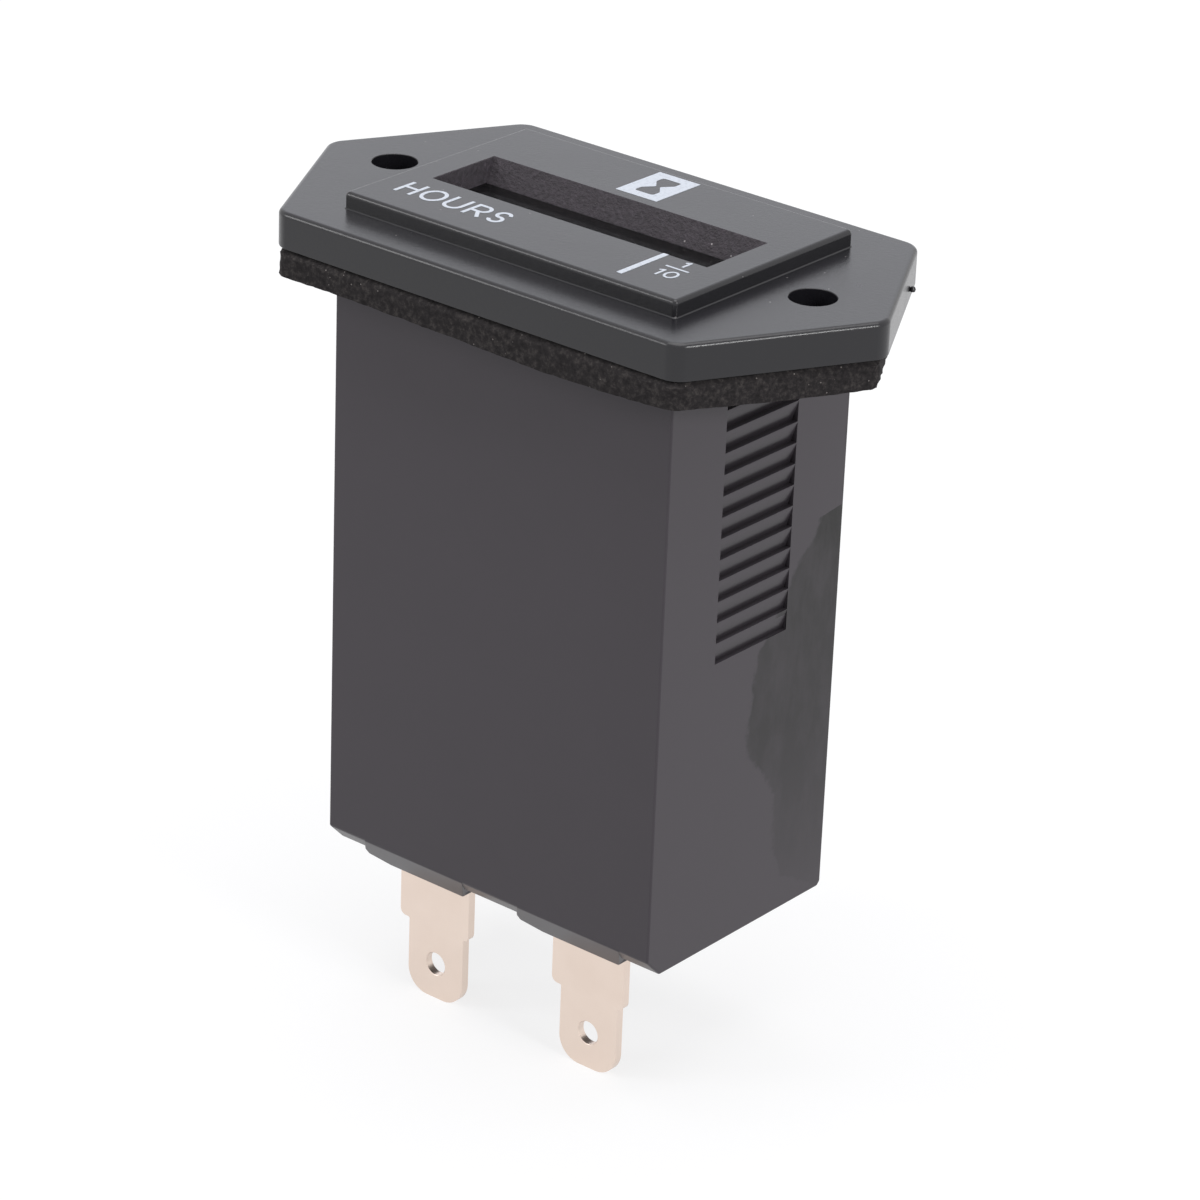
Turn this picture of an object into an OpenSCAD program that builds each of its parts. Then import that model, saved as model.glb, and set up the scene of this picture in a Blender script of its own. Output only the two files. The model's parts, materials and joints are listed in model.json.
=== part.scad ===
// Panel hour meter with a quartz stepping motor, a reduction train and a six-wheel counter.
// +X runs along the window, +Y to the rear long side, +Z out of the panel.
// The origin is the centre of the panel face, where the gasket's lower side lies.

/* [Bezel] */
// Length of the flange from point to point
flange_l = 60.5; // [59:0.5:72]
// Depth of the flange across its long edges
flange_w = 32; // [30:0.5:42]
// Length of each straight long edge of the flange
flange_edge = 42.8; // [40:0.2:48]
// Thickness of the flange
flange_t = 3.2; // [2.6:0.1:5]
// Rounding of the flange's six corners
flange_r = 1.8; // [1:0.1:3]
// Chamfer round the flange's upper edge
flange_cut = 0.4; // [0.2:0.1:0.8]
// Length of the raised frame round the window
frame_l = 35.6; // [34:0.2:38]
// Depth of the raised frame
frame_w = 23.2; // [18:0.2:26]
// Height of the raised frame above the flange
frame_h = 1.5; // [1:0.1:3]
// Chamfer round the frame's upper edge
frame_cut = 0.2; // [0.1:0.05:0.4]
// Length of the window's mouth
window_l = 29.5; // [27:0.1:30]
// Depth of the window's mouth across the counter
window_w = 7.8; // [7:0.1:10]
// How far the window's long walls lean in
window_lean = 1.4; // [0.5:0.1:1.8]
// How far the window's end walls lean in
window_end_lean = 0.3; // [0.1:0.1:0.6]
// Depth of the window from the frame's top to the lens
window_depth = 2.0; // [1.5:0.1:2.4]
// Distance between the two panel screw holes
screw_pitch = 45.2; // [44:0.2:50]
// Diameter of the panel screw holes
screw_d = 4.0; // [3:0.1:4.6]
// Length of the spigot that enters the body, below the flange
spigot_l = 3.4; // [2:0.1:3.8]
// Wall of the spigot
spigot_wall = 1.2; // [0.8:0.1:1.4]

/* [Lens] */
// Thickness of the window lens
lens_t = 1.2; // [0.8:0.1:1.5]
// How far the lens reaches behind the window's edge
lens_lip = 0.8; // [0.5:0.1:1.2]
// Space between the lens and the number wheels
lens_gap = 0.5; // [0.3:0.1:1]

/* [Gasket] */
// Thickness of the foam gasket
gasket_t = 2.3; // [1.5:0.1:3]
// How far the gasket stands out past the flange
gasket_out = 0.2; // [0:0.1:0.5]

/* [Body] */
// Width of the body along the window
body_w = 36.5; // [36.4:0.1:40]
// Depth of the body
body_d = 24; // [23.6:0.2:28]
// Depth of the body behind the panel
body_h = 54.2; // [53:0.2:70]
// Wall of the body
wall = 1.6; // [1.4:0.1:1.7]
// Thickness of the body's floor
floor_t = 2.0; // [1.5:0.1:3]
// Chamfer along the two long lower edges
foot_cut = 1.75; // [0.5:0.05:2]
// Rounding of the upright edges
edge_r = 0.2; // [0.1:0.1:1]
// Number of ratchet teeth on each narrow side
ratchet_count = 13; // [8:1:16]
// Height of one ratchet tooth
ratchet_pitch = 1.9; // [1.5:0.1:2.4]
// Depth of the highest ratchet tooth
ratchet_depth = 0.65; // [0.4:0.05:1.1]
// Depth of the lowest ratchet tooth
ratchet_low_depth = 0.45; // [0.2:0.05:0.9]
// Width of the ratchet teeth
ratchet_w = 9.6; // [6:0.2:12]
// Distance from the panel face down to the lowest tooth's foot
ratchet_end = 27.0; // [20:0.1:32]

/* [Terminals] */
// Width of the tab blade
tab_w = 6.35; // [4.8:0.05:6.8]
// Thickness of the tabs
tab_t = 0.8; // [0.5:0.1:1.2]
// Width of the tab's shoulder
shoulder_w = 8.0; // [7:0.1:9]
// Height of the tab's shoulder
shoulder_h = 5.3; // [3:0.1:7]
// Chamfer at the shoulder's two lower corners
shoulder_cut = 0.5; // [0.2:0.1:0.8]
// Length of the tab blade below its shoulder
blade_l = 7.0; // [6:0.1:9]
// Chamfer at the blade's two tip corners
tip_cut = 1.3; // [0.5:0.1:1.6]
// How far the blade stands to the right of its shoulder's middle
blade_shift = 0.25; // [0:0.05:0.3]
// Diameter of the hole in the blade
tab_hole_d = 2.2; // [1.4:0.1:2.4]
// Distance from the blade's tip to its hole
tab_hole_rise = 3.4; // [2.6:0.1:4.5]
// Distance between the two tabs
tab_pitch = 17.7; // [14:0.1:19]
// How far the tabs stand in front of the body's middle
tab_set = 7.9; // [6:0.1:8.2]
// Height of the boss that each tab leaves
boss_h = 1.2; // [0.6:0.1:2]
// Width of the tab's leg inside the body
leg_w = 3.0; // [2:0.1:4]

/* [Counter] */
// Radius of the number wheels
drum_r = 7.2; // [6.6:0.1:7.3]
// Width of the band that carries the numbers
drum_w = 2.9; // [2.6:0.1:3.1]
// Diameter of the wheel shaft
wheel_shaft_d = 1.6; // [1.2:0.1:2]
// Diameter of the carry pinions' shaft
pinion_shaft_d = 1.2; // [0.8:0.1:1.3]
// Teeth of each driven ring
ring_teeth = 20; // [20:10:20]
// Teeth of each carry pinion
carry_teeth = 8; // [8:1:8]
// Direction of the carry pinions from straight below the wheels
carry_angle = 30; // [25:1:35]
// Thickness of the counter frame's plates
plate_t = 0.9; // [0.7:0.1:1]
// Height of the counter frame's right plate
plate_h = 44; // [43.5:0.1:46]
// Height of the counter frame's left plate
left_plate_h = 15; // [14.5:0.1:20]
// Thickness of the two bars between the plates
bar_t = 1.4; // [1:0.1:1.6]
// Height of the two bars
bar_h = 3.6; // [2:0.1:3.8]
// Length of the two bosses that hold the wheel shaft
shaft_boss_l = 0.55; // [0.4:0.05:0.8]

/* [Drive train] */
// Teeth on the tenths wheel's own gear
tenths_teeth = 40; // [40:10:40]
// Teeth of the idler under the tenths wheel
idler_teeth = 20; // [18:1:21]
// Teeth of every pinion of the train
pinion_teeth = 8; // [8:1:8]
// Teeth of the third arbor's wheel
third_teeth = 48; // [48:1:48]
// Teeth of the second arbor's wheel
second_teeth = 64; // [64:1:64]
// Teeth of the first arbor's wheel
first_teeth = 60; // [60:1:60]
// Tooth module between the third and second arbor
third_module = 0.25; // [0.24:0.01:0.25]
// Tooth module between the second arbor, the first arbor and the rotor
fine_module = 0.18; // [0.17:0.01:0.18]
// Thickness of the train's wheels
gear_t = 0.6; // [0.4:0.1:0.8]
// Distance between the planes of neighbouring wheels
plane_step = 1.8; // [1.6:0.1:2]
// Diameter of the train's arbors
arbor_d = 0.9; // [0.7:0.1:1]
// Thickness of the gear plate
gear_plate_t = 1.2; // [0.8:0.1:1.6]
// Diameter of the pillars between the frame and the gear plate
pillar_d = 2.4; // [2:0.1:2.5]

/* [Motor] */
// Diameter of the rotor's magnet
magnet_d = 4.0; // [3:0.1:4.4]
// Length of the rotor's magnet
magnet_l = 2.0; // [1.5:0.1:2.4]
// Air gap between the magnet and the stator
air_gap = 0.4; // [0.2:0.05:0.5]
// Thickness of the stator and of the coil core
stator_t = 1.0; // [0.8:0.1:1.2]
// Half the width of the stator
stator_half = 6.35; // [6:0.05:6.6]
// Height of the stator's body
stator_h = 7.6; // [7:0.1:7.8]
// Length of the stator's legs
stator_leg = 5.8; // [5.4:0.1:6]
// Width of the stator's legs and of the coil core
limb_w = 2.5; // [2:0.1:2.8]
// Diameter of the bobbin's end cheeks
cheek_d = 6.0; // [5.4:0.1:6.2]
// Thickness of the bobbin's end cheeks and of its tube
cheek_t = 0.6; // [0.4:0.1:0.7]
// Diameter over the winding
winding_d = 5.5; // [4.6:0.1:5.6]

/* [Circuit board] */
// Thickness of the circuit board
board_t = 1.2; // [0.8:0.1:1.6]
// Height of the board above the floor
board_rise = 2.0; // [1:0.1:2.4]
// Diameter of the smoothing capacitor
capacitor_d = 6.3; // [5:0.1:8]
// Height of the smoothing capacitor
capacitor_h = 11; // [5:0.5:14]
// Diameter of the crystal's can
crystal_d = 2.0; // [1.5:0.1:3]
// Length of the crystal's can
crystal_l = 6.0; // [5:0.5:8]

/* [Clearances] */
// Radial clearance of every turning fit
run_gap = 0.05; // [0.02:0.01:0.08]
// Radial clearance of every fixed fit
fixed_gap = 0.02; // [0.01:0.01:0.04]
// Clearance round the lens, the spigot and the terminal slots
seat_gap = 0.1; // [0.05:0.01:0.2]
// Endplay between neighbours on one shaft
end_gap = 0.2; // [0.1:0.05:0.3]
// Space between the gasket and the body
gasket_gap = 0.3; // [0.1:0.1:0.6]
// Space between the counter frame and the body's narrow sides
frame_gap = 0.35; // [0.2:0.05:0.5]
// Space between the counter frame and the body's long sides
frame_side_gap = 1.0; // [0.5:0.1:1]

/* [Hidden] */

$fn = 48;
// A cut runs this far past the face it opens, and joined shapes sink this far into each other
cut = 0.1;

// Colours of the materials
black_plastic = [0.16, 0.16, 0.17];
frame_plastic = [0.86, 0.85, 0.80];
foam_black = [0.10, 0.09, 0.08];
tinned = [0.86, 0.80, 0.75];
steel = [0.70, 0.71, 0.73];
brass = [0.78, 0.63, 0.30];
copper = [0.72, 0.40, 0.20];
board_green = [0.10, 0.35, 0.20];
clear_lens = [0.75, 0.80, 0.85, 0.4];
chip_black = [0.08, 0.08, 0.09];
can_blue = [0.12, 0.14, 0.30];
resistor_blue = [0.45, 0.62, 0.72];

// Heights of the bezel, from the panel face up
flange_top = gasket_t + flange_t;
frame_top = flange_top + frame_h;
lens_top = frame_top - window_depth;
lens_bottom = lens_top - lens_t;
spigot_end = gasket_t - spigot_l;

// Inside of the body
inner_x = body_w / 2 - wall;
inner_y = body_d / 2 - wall;
floor_z = -body_h + floor_t;

// Window floor and lens
floor_l = window_l - 2 * window_end_lean;
floor_w = window_w - 2 * window_lean;

// Tooth form: addendum and dedendum in modules, share of the tooth given up as backlash
addendum = 0.75;
dedendum = 1.05;
backlash = 0.12;
pressure_angle = 20;

// Counter frame's plates along X
plate_x1 = inner_x - frame_gap;
plate_x0 = plate_x1 - plate_t;
plate_half_y = inner_y - frame_side_gap;

// Counter: six wheels share the room between the plates' shaft bosses
wheel_count = 6;
digit_pitch = (2 * (plate_x0 - shaft_boss_l - end_gap) + end_gap) / wheel_count;
wheel_at = [0, lens_bottom - lens_gap - drum_r];
side_w = (digit_pitch - drum_w - end_gap) / 2;
hub_half = drum_w / 2 + side_w;
hub_wall = 0.9;
hub_r = wheel_shaft_d / 2 + hub_wall;
drum_clear = 0.3;
carry_c = drum_r + drum_clear + pinion_shaft_d / 2;
carry_module = 2 * carry_c / (ring_teeth + carry_teeth);
// The two carry teeth stop this far short of the pinion beside them
carry_short = 0.2;
carry_tooth_l = 0.55;
carry_tooth_w = 0.5;
carry_reach = carry_c - carry_module * (carry_teeth / 2 + addendum) - carry_short;
carry_disc_r = carry_reach - carry_tooth_l;
rim_wall = 0.9;
groove_step = 0.3;
groove_r0 = carry_disc_r + groove_step;
groove_r1 = drum_r - rim_wall;
groove_depth = 1.6;

// Train: the tenths gear stays under the number band, and each axis hangs from the one before it
band_step = 0.15;
drive_module = (drum_r - band_step) / (tenths_teeth / 2 + addendum);
idler_angle = -20;
third_angle = 30;
second_angle = 30;
first_angle = -53;
rotor_angle = 37;
function centre_distance(za, zb, m) = m * (za + zb) / 2;
function hang(from, c, a) = [from[0] + c * sin(a), from[1] - c * cos(a)];
pinion_at = hang(wheel_at, carry_c, carry_angle);
idler_at = hang(wheel_at, centre_distance(tenths_teeth, idler_teeth, drive_module), idler_angle);
third_at = hang(idler_at, centre_distance(idler_teeth, pinion_teeth, drive_module), third_angle);
second_at = hang(third_at, centre_distance(third_teeth, pinion_teeth, third_module), second_angle);
first_at = hang(second_at, centre_distance(second_teeth, pinion_teeth, fine_module), first_angle);
rotor_at = hang(first_at, centre_distance(first_teeth, pinion_teeth, fine_module), rotor_angle);

// Planes along X
tenths_x = (wheel_count - 1) / 2 * digit_pitch;
tenths_gear_t = 0.8;
motor_boss_r = 1.1;
motor_boss_h = 1.9;
idler_x = tenths_x + drum_w / 2 + end_gap;
idler_t = tenths_gear_t - end_gap / 2;
third_x = idler_x - plane_step - end_gap;
second_x = third_x - plane_step;
first_x = second_x - plane_step;
stator_x = first_x - 2 * plane_step;
gear_plate_x1 = stator_x - motor_boss_h;
gear_plate_x0 = gear_plate_x1 - gear_plate_t;
frame_bottom = spigot_end - plate_h;
bar_z0 = spigot_end - left_plate_h;
gear_plate_top = bar_z0 - end_gap;
collar_wall = 0.35;
collar_r = arbor_d / 2 + collar_wall;
collar_l = 0.5;
idler_pin_r = 0.7;

// Pillars stand near the plates' edges, where the wheels leave room
pillar_inset = [1.8, 1.5, 1.8, 1.3];
pillar_end = 1.5;
third_pillar_drop = 4.4;
rotor_pillar_drop = 0.8;
pillars = [
    [plate_half_y - pillar_inset[0], gear_plate_top - pillar_end],
    [pillar_inset[1] - plate_half_y, third_at[1] - third_pillar_drop],
    [pillar_inset[2] - plate_half_y, rotor_at[1] - rotor_pillar_drop],
    [plate_half_y - pillar_inset[3], frame_bottom + pillar_end]
];

// Small screws
screw_r = 0.5;
screw_head_r = 1.15;
screw_head_h = 0.7;
screw_l = 4.0;
screw_slot = 0.3;

// Motor places
stator_top = rotor_at[1] + stator_h / 2;
stator_foot = rotor_at[1] - stator_h / 2;
limb_z = stator_foot - stator_leg;
core_z = limb_z + limb_w / 2;
core_x = stator_x + stator_t;
limb_y = [rotor_at[0] - stator_half + limb_w / 2, rotor_at[0] + stator_half - limb_w / 2];
cheek_clear = 0.2;
bobbin_y0 = limb_y[0] + limb_w / 2 + cheek_clear;
bobbin_y1 = limb_y[1] - limb_w / 2 - cheek_clear;
tube_x = stator_t + 2 * (cheek_t + seat_gap);
tube_z = limb_w + 2 * (cheek_t + seat_gap);
stator_notch_r = 0.35;
notch_angle = 45;
stator_slit = 0.3;
lead_r = 0.2;

// Circuit board places
board_z0 = floor_z + board_rise;
board_top = board_z0 + board_t;
ledge_t = 1.2;
ledge_half = 2.0;
board_end_gap = 0.6;
board_side_gap = 0.5;
board_half_x = inner_x - ledge_t - board_end_gap;
board_half_y = inner_y - board_side_gap;
post_r = 1.5;
post_inset = 2.0;
leg_stand = 1.2;
leg_top = board_top + leg_stand;
wire_turn = 1.0;
crystal_at = [-2, 5.5];
chip_at = [-2.5, 0];
chip_size = [5, 4, 1.5];
chip_leg = [0.4, 1.0, 0.25];
chip_leg_pitch = 1.27;
capacitor_inset = 5.85;
capacitor_at = [capacitor_inset - board_half_x, 3.5];
bead_depth = 0.35;
bead_half = 0.4;
bead_rise = 1.6;
diode_d = 2.4;
diode_l = 5.0;
diode_at = [-1, -6.5];
resistor_d = 2.0;
resistor_l = 5.4;
resistor_count = 3;
resistor_inset = 4.25;
resistor_at = [board_half_x - resistor_inset, -2];
resistor_step = 3.2;

// Tab heights and the boss that each tab leaves
boss_face = -body_h - boss_h;
shoulder_foot = boss_face - shoulder_h;
tab_tip = shoulder_foot - blade_l;
boss_d = 3.6;
boss_lead = 3.0;
boss_tail = 0.5;
boss_ramp = 0.4;
boss_step = 0.55 * boss_h;

// Angle of the involute at a pressure angle, in degrees
function involute(a) = tan(a) * 180 / PI - a;

// Half angle of a tooth at radius r
function tooth_half(r, z, m) =
    let (base = m * z / 2 * cos(pressure_angle))
    90 / z * (1 - backlash) + involute(pressure_angle) - involute(acos(min(1, base / r)));

// Outline of a spur gear with one tooth centred at the phase angle
function gear_outline(z, m, phase) =
    let (pitch_r = m * z / 2, tip = pitch_r + addendum * m, root = pitch_r - dedendum * m)
    [
        for (i = [0:z - 1])
            for (flank = [[root, -1], [pitch_r, -1], [tip, -1], [tip, 1], [pitch_r, 1], [root, 1]])
                let (a = phase + 360 * i / z + flank[1] * tooth_half(flank[0], z, m))
                flank[0] * [cos(a), sin(a)]
    ];

// Phase of the second gear of a pair, seen from the first gear in the given direction
function mesh_phase(direction, phase, za, zb) =
    direction + 180 - (0.5 - (direction - phase) * za / 360) * 360 / zb;

// Two values at the same distance from a middle
function around(middle, half) = [middle - half, middle + half];

function wheel_x(i) = (i - (wheel_count - 1) / 2) * digit_pitch;

// Places children with their own Z axis along X, through a point of the Y-Z plane
module along_x(x, at) {
    translate([x, at[0], at[1]]) rotate([0, 90, 0]) children();
}

// Places children with their own Z axis along Y
module along_y(x, y, z) {
    translate([x, y, z]) rotate([-90, 0, 0]) children();
}

module spur(z, m, phase, height) {
    linear_extrude(height = height) polygon(gear_outline(z, m, phase));
}

module rounded_rect(w, d, r) {
    square([w - 2 * r, d], center = true);
    square([w, d - 2 * r], center = true);
    for (x = [-1, 1], y = [-1, 1])
        translate([x * (w / 2 - r), y * (d / 2 - r)]) circle(r = r);
}

// Box between two X, two Y and two Z values
module span(x, y, z) {
    translate([x[0], y[0], z[0]]) cube([x[1] - x[0], y[1] - y[0], z[1] - z[0]]);
}

// Six-sided flange outline, grown by the given amount
module flange_outline(grow) {
    offset(r = flange_r + grow) offset(delta = -flange_r) polygon([
        [-flange_edge / 2, -flange_w / 2], [flange_edge / 2, -flange_w / 2], [flange_l / 2, 0],
        [flange_edge / 2, flange_w / 2], [-flange_edge / 2, flange_w / 2], [-flange_l / 2, 0]
    ]);
}

module flange_solid() {
    translate([0, 0, gasket_t]) hull() {
        linear_extrude(height = flange_t - flange_cut) flange_outline(0);
        linear_extrude(height = flange_t) flange_outline(-flange_cut);
    }
}

module frame_solid() {
    translate([0, 0, flange_top - cut]) hull() {
        linear_extrude(height = frame_h + cut - frame_cut) square([frame_l, frame_w], center = true);
        linear_extrude(height = frame_h + cut)
            square([frame_l - 2 * frame_cut, frame_w - 2 * frame_cut], center = true);
    }
}

// Window pocket with leaning walls, open to the frame's top and to the lens
module window_cut() {
    hull() {
        translate([0, 0, frame_top]) linear_extrude(height = cut)
            square([window_l, window_w], center = true);
        translate([0, 0, lens_top - cut]) linear_extrude(height = cut)
            square([floor_l, floor_w], center = true);
    }
}

module lens_plate(gap) {
    span(around(0, floor_l / 2 + lens_lip + gap), around(0, floor_w / 2 + lens_lip + gap),
        [lens_bottom, lens_top]);
}

module panel_holes(d, z0, z1) {
    for (s = [-1, 1])
        translate([s * screw_pitch / 2, 0, z0]) cylinder(d = d, h = z1 - z0);
}

// Flange, raised frame and spigot are one moulding
module bezel() {
    spigot_x = inner_x - seat_gap;
    spigot_y = inner_y - seat_gap;
    color(black_plastic) difference() {
        union() {
            flange_solid();
            frame_solid();
            span(around(0, spigot_x), around(0, spigot_y), [spigot_end, gasket_t + cut]);
        }
        window_cut();
        lens_plate(seat_gap);
        span(around(0, spigot_x - spigot_wall), around(0, spigot_y - spigot_wall),
            [spigot_end - cut, lens_bottom]);
        panel_holes(screw_d, gasket_t - cut, flange_top + cut);
    }
}

module window_lens() {
    color(clear_lens) lens_plate(0);
}

module flange_gasket() {
    color(foam_black) difference() {
        linear_extrude(height = gasket_t) flange_outline(gasket_out);
        translate([0, 0, -cut]) linear_extrude(height = gasket_t + 2 * cut)
            rounded_rect(body_w + 2 * gasket_gap, body_d + 2 * gasket_gap, edge_r + gasket_gap);
        panel_holes(screw_d, -cut, gasket_t + cut);
    }
}

// Saw teeth cut into the right side: each ramps in from the face and ends on an upward step,
// and the steps get shallower from the highest tooth to the lowest
module ratchet_cut() {
    face = body_w / 2;
    for (i = [0:ratchet_count - 1]) {
        foot = -ratchet_end + i * ratchet_pitch;
        share = i / (ratchet_count - 1);
        depth = ratchet_low_depth + share * (ratchet_depth - ratchet_low_depth);
        translate([0, ratchet_w / 2, 0]) rotate([90, 0, 0]) linear_extrude(height = ratchet_w)
            polygon([[face + cut, foot], [face - depth, foot],
                [face, foot + ratchet_pitch], [face + cut, foot + ratchet_pitch]]);
    }
}

// Body outline seen from the end, with the chamfered long edges
module body_block() {
    half = body_d / 2;
    intersection() {
        translate([0, 0, -body_h]) linear_extrude(height = body_h + gasket_t)
            rounded_rect(body_w, body_d, edge_r);
        translate([-body_w / 2 - cut, 0, 0]) rotate([90, 0, 90]) linear_extrude(height = body_w + 2 * cut)
            polygon([[-half + foot_cut, -body_h], [half - foot_cut, -body_h], [half, -body_h + foot_cut],
                [half, gasket_t], [-half, gasket_t], [-half, -body_h + foot_cut]]);
    }
}

// Pad under the floor that a tab leaves, with a step and a long ramp at its left end
module tab_boss(x) {
    full = x - shoulder_w / 2;
    left = full - boss_lead;
    right = x + shoulder_w / 2 + boss_tail;
    translate([0, -tab_set + boss_d / 2, 0]) rotate([90, 0, 0]) linear_extrude(height = boss_d)
        polygon([[left, -body_h + cut], [left + boss_ramp, -body_h - boss_step], [full, boss_face],
            [right, boss_face], [right, -body_h + cut]]);
}

module tab_slot(x, z0, z1) {
    span(around(x, leg_w / 2 + seat_gap), around(-tab_set, tab_t / 2 + seat_gap), [z0, z1]);
}

// Deep box with ratchet sides, ledges for the counter frame and posts for the board
module housing() {
    color(black_plastic) difference() {
        union() {
            difference() {
                body_block();
                span(around(0, inner_x), around(0, inner_y), [floor_z, gasket_t + cut]);
            }
            for (s = [-1, 1]) tab_boss(s * tab_pitch / 2);
            span([inner_x - ledge_t, inner_x + cut], around(0, ledge_half), [floor_z - cut, frame_bottom]);
            span([-inner_x - cut, -inner_x + ledge_t], around(0, ledge_half), [floor_z - cut, bar_z0]);
            for (x = [-1, 1], y = [-1, 1])
                translate([x * (board_half_x - post_inset), y * (board_half_y - post_inset), floor_z - cut])
                    cylinder(r = post_r, h = board_rise + cut);
        }
        ratchet_cut();
        mirror([1, 0, 0]) ratchet_cut();
        for (s = [-1, 1]) tab_slot(s * tab_pitch / 2, boss_face - cut, floor_z + cut);
    }
}

// Pressed blade: leg through the floor, shoulder under the boss, blade with chamfered tip
module terminal(x) {
    half = tab_w / 2;
    wide = shoulder_w / 2;
    leg = leg_w / 2;
    shoulder_side = shoulder_foot + shoulder_cut;
    outline = concat(
        [for (s = [1, -1]) [blade_shift - s * (half - tip_cut), tab_tip]],
        [[blade_shift + half, tab_tip + tip_cut], [blade_shift + half, shoulder_foot]],
        [[wide - shoulder_cut, shoulder_foot], [wide, shoulder_side], [wide, boss_face]],
        [[leg, boss_face], [leg, leg_top], [-leg, leg_top], [-leg, boss_face]],
        [[-wide, boss_face], [-wide, shoulder_side], [shoulder_cut - wide, shoulder_foot]],
        [[blade_shift - half, shoulder_foot], [blade_shift - half, tab_tip + tip_cut]]
    );
    hole_z = tab_tip + tab_hole_rise;
    color(tinned) difference() {
        translate([x, -tab_set + tab_t / 2, 0]) rotate([90, 0, 0]) linear_extrude(height = tab_t)
            polygon(outline);
        along_y(x + blade_shift, -tab_set - tab_t, hole_z) cylinder(d = tab_hole_d, h = 2 * tab_t);
    }
}

module terminal_positive() {
    terminal(-tab_pitch / 2);
}

module terminal_negative() {
    terminal(tab_pitch / 2);
}

// Two plates joined by two bars, with the pillars and the idler's pin moulded on
module counter_frame() {
    color(black_plastic) difference() {
        union() {
            span([plate_x0, plate_x1], around(0, plate_half_y), [frame_bottom, spigot_end]);
            span([-plate_x1, -plate_x0], around(0, plate_half_y), [bar_z0, spigot_end]);
            for (s = [-1, 1])
                span(around(0, plate_x1), around(s * (plate_half_y - bar_t / 2), bar_t / 2),
                    [bar_z0, bar_z0 + bar_h]);
            for (p = pillars)
                along_x(gear_plate_x1, p) cylinder(d = pillar_d, h = plate_x0 + cut - gear_plate_x1);
            along_x(plate_x0 - shaft_boss_l, wheel_at) cylinder(r = hub_r, h = shaft_boss_l + cut);
            along_x(-plate_x0 - cut, wheel_at) cylinder(r = hub_r, h = shaft_boss_l + cut);
            along_x(idler_x + idler_t + end_gap / 2, idler_at)
                cylinder(r = 2 * idler_pin_r, h = plate_x0 + cut - idler_x - idler_t - end_gap / 2);
            along_x(idler_x - end_gap / 2, idler_at) cylinder(r = idler_pin_r, h = plate_x0 - idler_x);
        }
        along_x(-body_w / 2, wheel_at) cylinder(d = wheel_shaft_d + 2 * fixed_gap, h = body_w);
        along_x(-body_w / 2, pinion_at) cylinder(d = pinion_shaft_d + 2 * fixed_gap, h = body_w);
        for (at = [third_at, second_at, first_at, rotor_at])
            along_x(plate_x0 - cut, at) cylinder(d = arbor_d + 2 * run_gap, h = plate_t + 2 * cut);
        for (p = pillars) along_x(gear_plate_x1 - cut, p) cylinder(r = screw_r + fixed_gap, h = screw_l);
    }
}

// Second plate of the train, which also carries the motor on two bosses
module gear_plate() {
    color(black_plastic) difference() {
        union() {
            span([gear_plate_x0, gear_plate_x1], around(0, plate_half_y), [frame_bottom, gear_plate_top]);
            for (y = limb_y)
                along_x(gear_plate_x1 - cut, [y, core_z])
                    cylinder(r = motor_boss_r, h = stator_x - gear_plate_x1 + cut);
        }
        for (at = [third_at, second_at, first_at, rotor_at])
            along_x(gear_plate_x0 - cut, at)
                cylinder(d = arbor_d + 2 * run_gap, h = gear_plate_t + 2 * cut);
        for (p = pillars)
            along_x(gear_plate_x0 - cut, p) cylinder(r = screw_r + seat_gap, h = gear_plate_t + 2 * cut);
        for (y = limb_y)
            along_x(gear_plate_x0 - cut, [y, core_z])
                cylinder(r = screw_r + fixed_gap, h = stator_x - gear_plate_x0 + 2 * cut);
    }
}

// Slotted cheese-head screw with its head's underside at the origin and its shank along +Z
module small_screw(length) {
    difference() {
        union() {
            translate([0, 0, -screw_head_h]) cylinder(r = screw_head_r, h = screw_head_h);
            cylinder(r = screw_r, h = length);
        }
        translate([-screw_head_r - cut, -screw_slot / 2, -screw_head_h - cut])
            cube([2 * (screw_head_r + cut), screw_slot, screw_head_h / 2 + cut]);
    }
}

module gear_plate_screws() {
    color(steel) for (p = pillars) along_x(gear_plate_x0, p) small_screw(screw_l);
}

module wheel_shaft() {
    color(steel) along_x(-plate_x1, wheel_at) cylinder(d = wheel_shaft_d, h = 2 * plate_x1);
}

module pinion_shaft() {
    color(steel) along_x(-plate_x1, pinion_at) cylinder(d = pinion_shaft_d, h = 2 * plate_x1);
}

// Number wheel: band, hub, a gear on its right and, unless it is the first, two carry teeth on its left
module number_wheel(i, teeth, m, gear_w) {
    band = drum_w / 2;
    bore_end = max(hub_half, band + gear_w) + cut;
    color(black_plastic) along_x(wheel_x(i), wheel_at) difference() {
        union() {
            translate([0, 0, -band]) cylinder(r = drum_r, h = drum_w);
            translate([0, 0, -hub_half]) cylinder(r = hub_r, h = 2 * hub_half);
            translate([0, 0, band - cut]) spur(teeth, m, 0, gear_w + cut);
            if (i > 0) {
                translate([0, 0, -hub_half]) cylinder(r = carry_disc_r, h = side_w + cut);
                for (s = [-1, 1]) rotate(s * 180 / ring_teeth)
                    translate([hub_r, -carry_tooth_w / 2, -hub_half])
                        cube([carry_reach - hub_r, carry_tooth_w, side_w + cut]);
            }
        }
        translate([0, 0, -hub_half - cut])
            cylinder(d = wheel_shaft_d + 2 * run_gap, h = bore_end + hub_half + cut);
        translate([0, 0, -band - cut]) difference() {
            cylinder(r = groove_r1, h = groove_depth + cut);
            cylinder(r = groove_r0, h = groove_depth + cut);
        }
    }
}

module ring_wheel(i) {
    number_wheel(i, ring_teeth, carry_module, side_w);
}

module tenths_wheel() {
    number_wheel(wheel_count - 1, tenths_teeth, drive_module, tenths_gear_t);
}

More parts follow.
